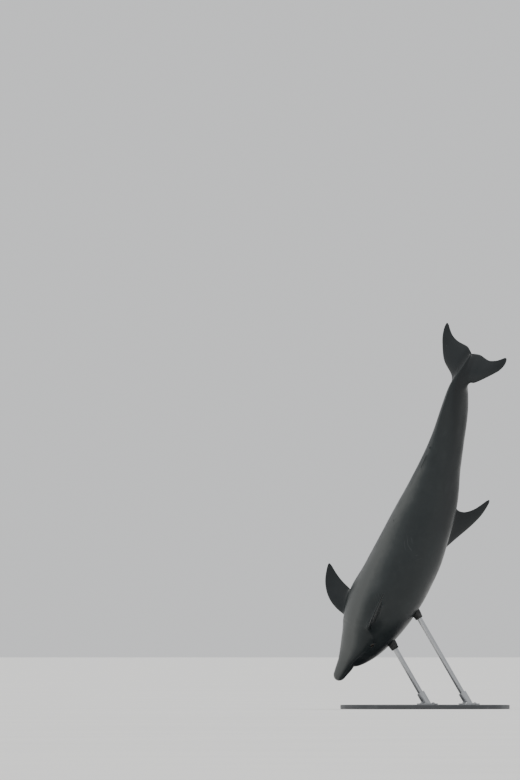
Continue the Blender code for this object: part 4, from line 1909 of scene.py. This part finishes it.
@dataclass
class Stand:
    """The plain display stand: a round base and two leaning rods with their fittings."""

    lean: float = 60.0
    rod_radius: float = 0.018
    rods: tuple[str, ...] = ("front", "rear")
    bolts: int = 4
    base_round: float = 0.006
    groove_inset: float = 0.030
    groove_width: float = 0.005
    groove_depth: float = 0.002
    flange_radius: float = 0.075
    flange_thickness: float = 0.010
    chamfer: float = 0.0015
    cut_allowance: float = 0.050
    sleeve_radius: float = 0.028
    sleeve_length: float = 0.100
    sleeve_bore: float = 0.0186
    sleeve_round: float = 0.003
    sleeve_corner: float = 0.0008
    sleeve_recess: float = 0.008
    weld_radius: float = 0.0042
    weld_ripple: float = 0.012
    weld_ripples: int = 38
    washer_radius: float = 0.0115
    washer_thickness: float = 0.0016
    bolt_radius: float = 0.0085
    bolt_height: float = 0.007
    bolt_round: float = 0.0007
    bolt_turn: float = 1700.0
    collar_radius: float = 0.032
    collar_play: float = 0.0001
    collar_lip: float = 0.002
    collar_steps: tuple[Place, ...] = (
        (0.0080, 0.000), (0.0040, 0.003), (0.0035, 0.010), (0.0052, 0.012),
        (0.0035, 0.014), (0.0020, 0.024), (0.0005, 0.034), (0.0000, 0.064),
    )  # fmt: skip

    def __post_init__(self) -> None:
        """Make the finishes, and note which way the rods lean."""
        self.steel = SteelFinish(name="rod steel", turn=(0.0, 90 - self.lean, 0.0)).make()
        self.flat_steel = SteelFinish(name="flange steel", grain=(40.0, 700.0, 700.0)).make()
        self.rubber = RubberFinish().make()
        lean = math.radians(self.lean)
        self.rise = Vector((-math.cos(lean), 0, math.sin(lean)))

    def build(self) -> None:
        """Make the base, and each rod with its fittings."""
        self.build_base()
        for name in self.rods:
            self.build_rod(name)

    def build_base(self) -> None:
        """The round base, with a fine groove turned into its top."""
        low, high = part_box("stand_base")
        radius, top = (high.x - low.x) / 2, high.z
        edge = self.base_round
        inset = radius - self.groove_inset
        half = self.groove_width / 2
        profile = [(0.0, low.z), (radius - edge / 2, low.z), (radius, low.z + edge / 2)]
        profile += rounded((radius - edge, top - edge), edge)
        profile += [
            (inset + half, top),
            (inset + half * 0.6, top - self.groove_depth),
            (inset - half * 0.6, top - self.groove_depth),
            (inset - half, top),
            (0.0, top),
        ]
        centre = Vector(((low.x + high.x) / 2, (low.y + high.y) / 2, 0))
        mesh = turned(profile, Matrix.Translation(centre), steps=192)
        base = finished_object("base_disc", mesh, PaintFinish().make())
        register(base, ["stand_base"])

    def build_rod(self, name: str) -> None:
        """A rod from the base into the back, with its flange, weld, bolts and collar.

        Args:
            name: front or rear.
        """
        bolts = [f"stand_bolt_{name}_{k + 1}" for k in range(self.bolts)]
        boxes = [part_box(bolt) for bolt in bolts]
        middle = sum((low + high for low, high in boxes), Vector()) / (2 * len(boxes))
        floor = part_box("stand_flange_" + name)[0].z
        foot = Vector((middle.x, middle.y, floor))
        slant = self.rod_radius * math.cos(math.radians(self.lean))
        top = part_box("stand_rod_" + name)[1].z - slant
        length = (top - floor) / self.rise.z
        along = self.rise.to_track_quat("Z", "Y").to_matrix().to_4x4()
        self.build_shaft(name, foot, along, length)
        self.build_flange(name, foot, along)
        for node, (low, high) in zip(bolts, boxes):
            self.build_bolt(node, (low + high) / 2, low.z)
        slant = self.collar_radius * math.cos(math.radians(self.lean))
        outer = (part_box("stand_collar_" + name)[0].z + slant - floor) / self.rise.z
        self.build_collar(name, foot + self.rise * outer, along)

    def build_shaft(self, name: str, foot: Vector, along: Matrix, length: float) -> None:
        """The rod itself, cut level at the base.

        Args:
            name: front or rear.
            foot: where its middle line meets the base.
            along: the turn from upright to leaning.
            length: from the foot to its far end.
        """
        radius, spare = self.rod_radius, self.cut_allowance
        profile = [(0.0, -spare), (radius, -spare), (radius, length), (0.0, length)]
        mesh = turned(profile, Matrix.Translation(foot) @ along, steps=64)
        cut_level(mesh, foot)
        rod = finished_object("rod_" + name, mesh, self.steel)
        register(rod, ["stand_rod_" + name])

    def build_flange(self, name: str, foot: Vector, along: Matrix) -> None:
        """The disc on the base, the sleeve that holds the rod, and the weld between them.

        Args:
            name: front or rear.
            foot: where the rod's middle line meets the base.
            along: the turn from upright to leaning.
        """
        radius, thick, chamfer = self.flange_radius, self.flange_thickness, self.chamfer
        profile = [(0.0, 0.0), (radius - chamfer / 3, 0.0), (radius, chamfer / 3)]
        profile += [(radius, thick - chamfer), (radius - chamfer, thick), (0.0, thick)]
        disc = turned(profile, Matrix.Translation(foot))
        outer, bore, end = self.sleeve_radius, self.sleeve_bore, self.sleeve_length
        edge, corner = self.sleeve_round, self.sleeve_corner
        recess, spare = end - self.sleeve_recess, self.cut_allowance
        profile = [(0.0, -spare), (outer, -spare), (outer, end - edge)]
        profile += [(outer - corner, end - corner), (outer - edge, end), (bore + chamfer, end)]
        profile += [(bore, end - chamfer), (bore, recess), (0.0, recess)]
        sleeve = turned(profile, Matrix.Translation(foot) @ along, steps=64)
        cut_level(sleeve, foot + Vector((0, 0, thick - MM)))
        section = rounded((outer, 0.0), self.weld_radius, sweep=345.0, steps=23)
        bead = turned(section, Matrix.Identity(4))
        for vert in bead.verts:
            turn = math.atan2(vert.co.y, vert.co.x)
            ripple = 1 + self.weld_ripple * math.sin(turn * self.weld_ripples)
            vert.co.x *= ripple / math.sin(math.radians(self.lean))
            vert.co.y *= ripple
        shift = thick / math.tan(math.radians(self.lean))
        place = foot + Vector((-shift, 0, thick))
        bmesh.ops.transform(bead, matrix=Matrix.Translation(place), verts=bead.verts)
        fixed = finished_object("flange_" + name, disc, self.flat_steel)
        register(fixed, ["stand_flange_" + name])
        register(finished_object("sleeve_" + name, sleeve, self.steel), [])
        register(finished_object("weld_" + name, bead, self.flat_steel), [])

    def build_bolt(self, node: str, centre: Vector, level: float) -> None:
        """A hexagon bolt's head on its washer.

        Args:
            node: the CAD node that it stands for.
            centre: the middle of that node.
            level: the height that it sits at.
        """
        foot = Vector((centre.x, centre.y, level))
        thick, wide = self.washer_thickness, self.washer_radius
        edge = thick / 4
        profile = [(0.0, 0.0), (wide, 0.0), (wide, thick - edge), (wide - edge, thick)]
        washer = turned(profile + [(0.0, thick)], Matrix.Translation(foot), steps=40)
        head = bmesh.new()
        tall = self.bolt_height - thick
        turn = math.radians(self.bolt_turn * (centre.x + centre.y))
        middle = foot + Vector((0, 0, thick + tall / 2))
        place = Matrix.Translation(middle) @ Matrix.Rotation(turn, 4, "Z")
        bmesh.ops.create_cone(
            head,
            cap_ends=True,
            segments=6,
            radius1=self.bolt_radius,
            radius2=self.bolt_radius,
            depth=tall,
            matrix=place,
        )
        bmesh.ops.bevel(
            head,
            geom=head.edges[:],
            offset=self.bolt_round,
            offset_type="OFFSET",
            segments=2,
            profile=0.5,
            affect="EDGES",
            material=-1,
        )
        name = node.removeprefix("stand_")
        register(finished_object(name + "_head", head, self.flat_steel), [node])
        register(finished_object(name + "_washer", washer, self.flat_steel), [])

    def build_collar(self, name: str, outer: Vector, along: Matrix) -> None:
        """The rubber collar that closes the hole in the skin.

        Args:
            name: front or rear.
            outer: the middle of its outer end.
            along: the turn from upright to leaning.
        """
        bore, lip = self.rod_radius + self.collar_play, self.collar_lip
        profile = [(bore, lip), (bore + lip, 0.0)]
        profile += [(self.collar_radius - inset, height) for inset, height in self.collar_steps]
        profile.append((bore, profile[-1][1]))
        mesh = turned(profile, Matrix.Translation(outer) @ along, steps=72)
        collar = finished_object("collar_" + name, mesh, self.rubber)
        register(collar, ["stand_collar_" + name])


@dataclass(frozen=True)
class Lamp:
    """A distant, wide and soft lamp, which lights the whole floor evenly."""

    name: str
    azimuth: float
    elevation: float
    width: float
    strength: float
    colour: tuple[float, float, float] = (1.0, 1.0, 1.0)
    mirrored: bool = True

    def hang(self) -> None:
        """Hang the lamp where it shines from its azimuth and elevation, in degrees."""
        data = bpy.data.lights.new(self.name, "SUN")
        data.angle = math.radians(self.width)
        data.energy = self.strength
        data.color = self.colour
        lamp = bpy.data.objects.new(self.name, data)
        turn, lift = math.radians(self.azimuth), math.radians(self.elevation)
        flat = math.cos(lift)
        source = Vector((math.sin(turn) * flat, -math.cos(turn) * flat, math.sin(lift)))
        lamp.matrix_world = source.to_track_quat("Z", "Y").to_matrix().to_4x4()
        lamp.visible_glossy = self.mirrored
        bpy.context.scene.collection.objects.link(lamp)


@dataclass
class Studio:
    """The plain pale floor, the soft light and the far camera with its long lens."""

    distance: float = 120.0
    frame_height: float = 5.526
    sensor: float = 36.0
    middle: tuple[float, float] = (-1.169, 2.260)
    eye_level: float = 0.38
    clip: Place = (0.5, 8000.0)
    floor_radius: float = 3000.0
    sky: Colour = rgb(0.83, 0.84, 0.85)
    sky_strength: float = 0.92
    lamps: tuple[Lamp, ...] = (
        Lamp("key", -58.0, 56.0, 22.0, 1.55, (1.0, 0.985, 0.96)),
        Lamp("fill", 48.0, 24.0, 60.0, 0.55, (0.95, 0.98, 1.0), mirrored=False),
        Lamp("rim", 165.0, 38.0, 26.0, 1.3, mirrored=False),
    )

    def build(self) -> None:
        """Set up the floor, the light and the camera."""
        self.lay_floor()
        world = bpy.data.worlds.new("studio")
        world.use_nodes = True
        background = world.node_tree.nodes["Background"]
        background.inputs["Color"].default_value = self.sky
        background.inputs["Strength"].default_value = self.sky_strength
        bpy.context.scene.world = world
        for lamp in self.lamps:
            lamp.hang()
        self.place_camera()

    def lay_floor(self) -> None:
        """A wide pale floor at the level of the base's underside."""
        mesh = bmesh.new()
        bmesh.ops.create_circle(mesh, cap_ends=True, segments=64, radius=self.floor_radius)
        data = bpy.data.meshes.new("floor")
        mesh.to_mesh(data)
        mesh.free()
        data.materials.append(FloorFinish().make())
        floor = bpy.data.objects.new("floor", data)
        bpy.context.scene.collection.objects.link(floor)

    def place_camera(self) -> None:
        """A far camera, low over the floor, that looks slightly up."""
        data = bpy.data.cameras.new("camera")
        data.sensor_width = self.sensor
        data.lens = self.sensor * self.distance / self.frame_height
        data.clip_start, data.clip_end = self.clip
        camera = bpy.data.objects.new("camera", data)
        place = Vector((self.middle[0], -self.distance, self.eye_level))
        aim = Vector((self.middle[0], 0, self.middle[1])) - place
        turn = aim.to_track_quat("-Z", "Y").to_matrix().to_4x4()
        camera.matrix_world = Matrix.Translation(place) @ turn
        bpy.context.scene.collection.objects.link(camera)
        bpy.context.scene.camera = camera


def main() -> None:
    """Build the animal, the stand and the studio."""
    logging.basicConfig(level=logging.INFO, format="%(name)s: %(message)s")
    Animal().build()
    Stand().build()
    Studio().build()


if __name__ == "__main__":
    main()
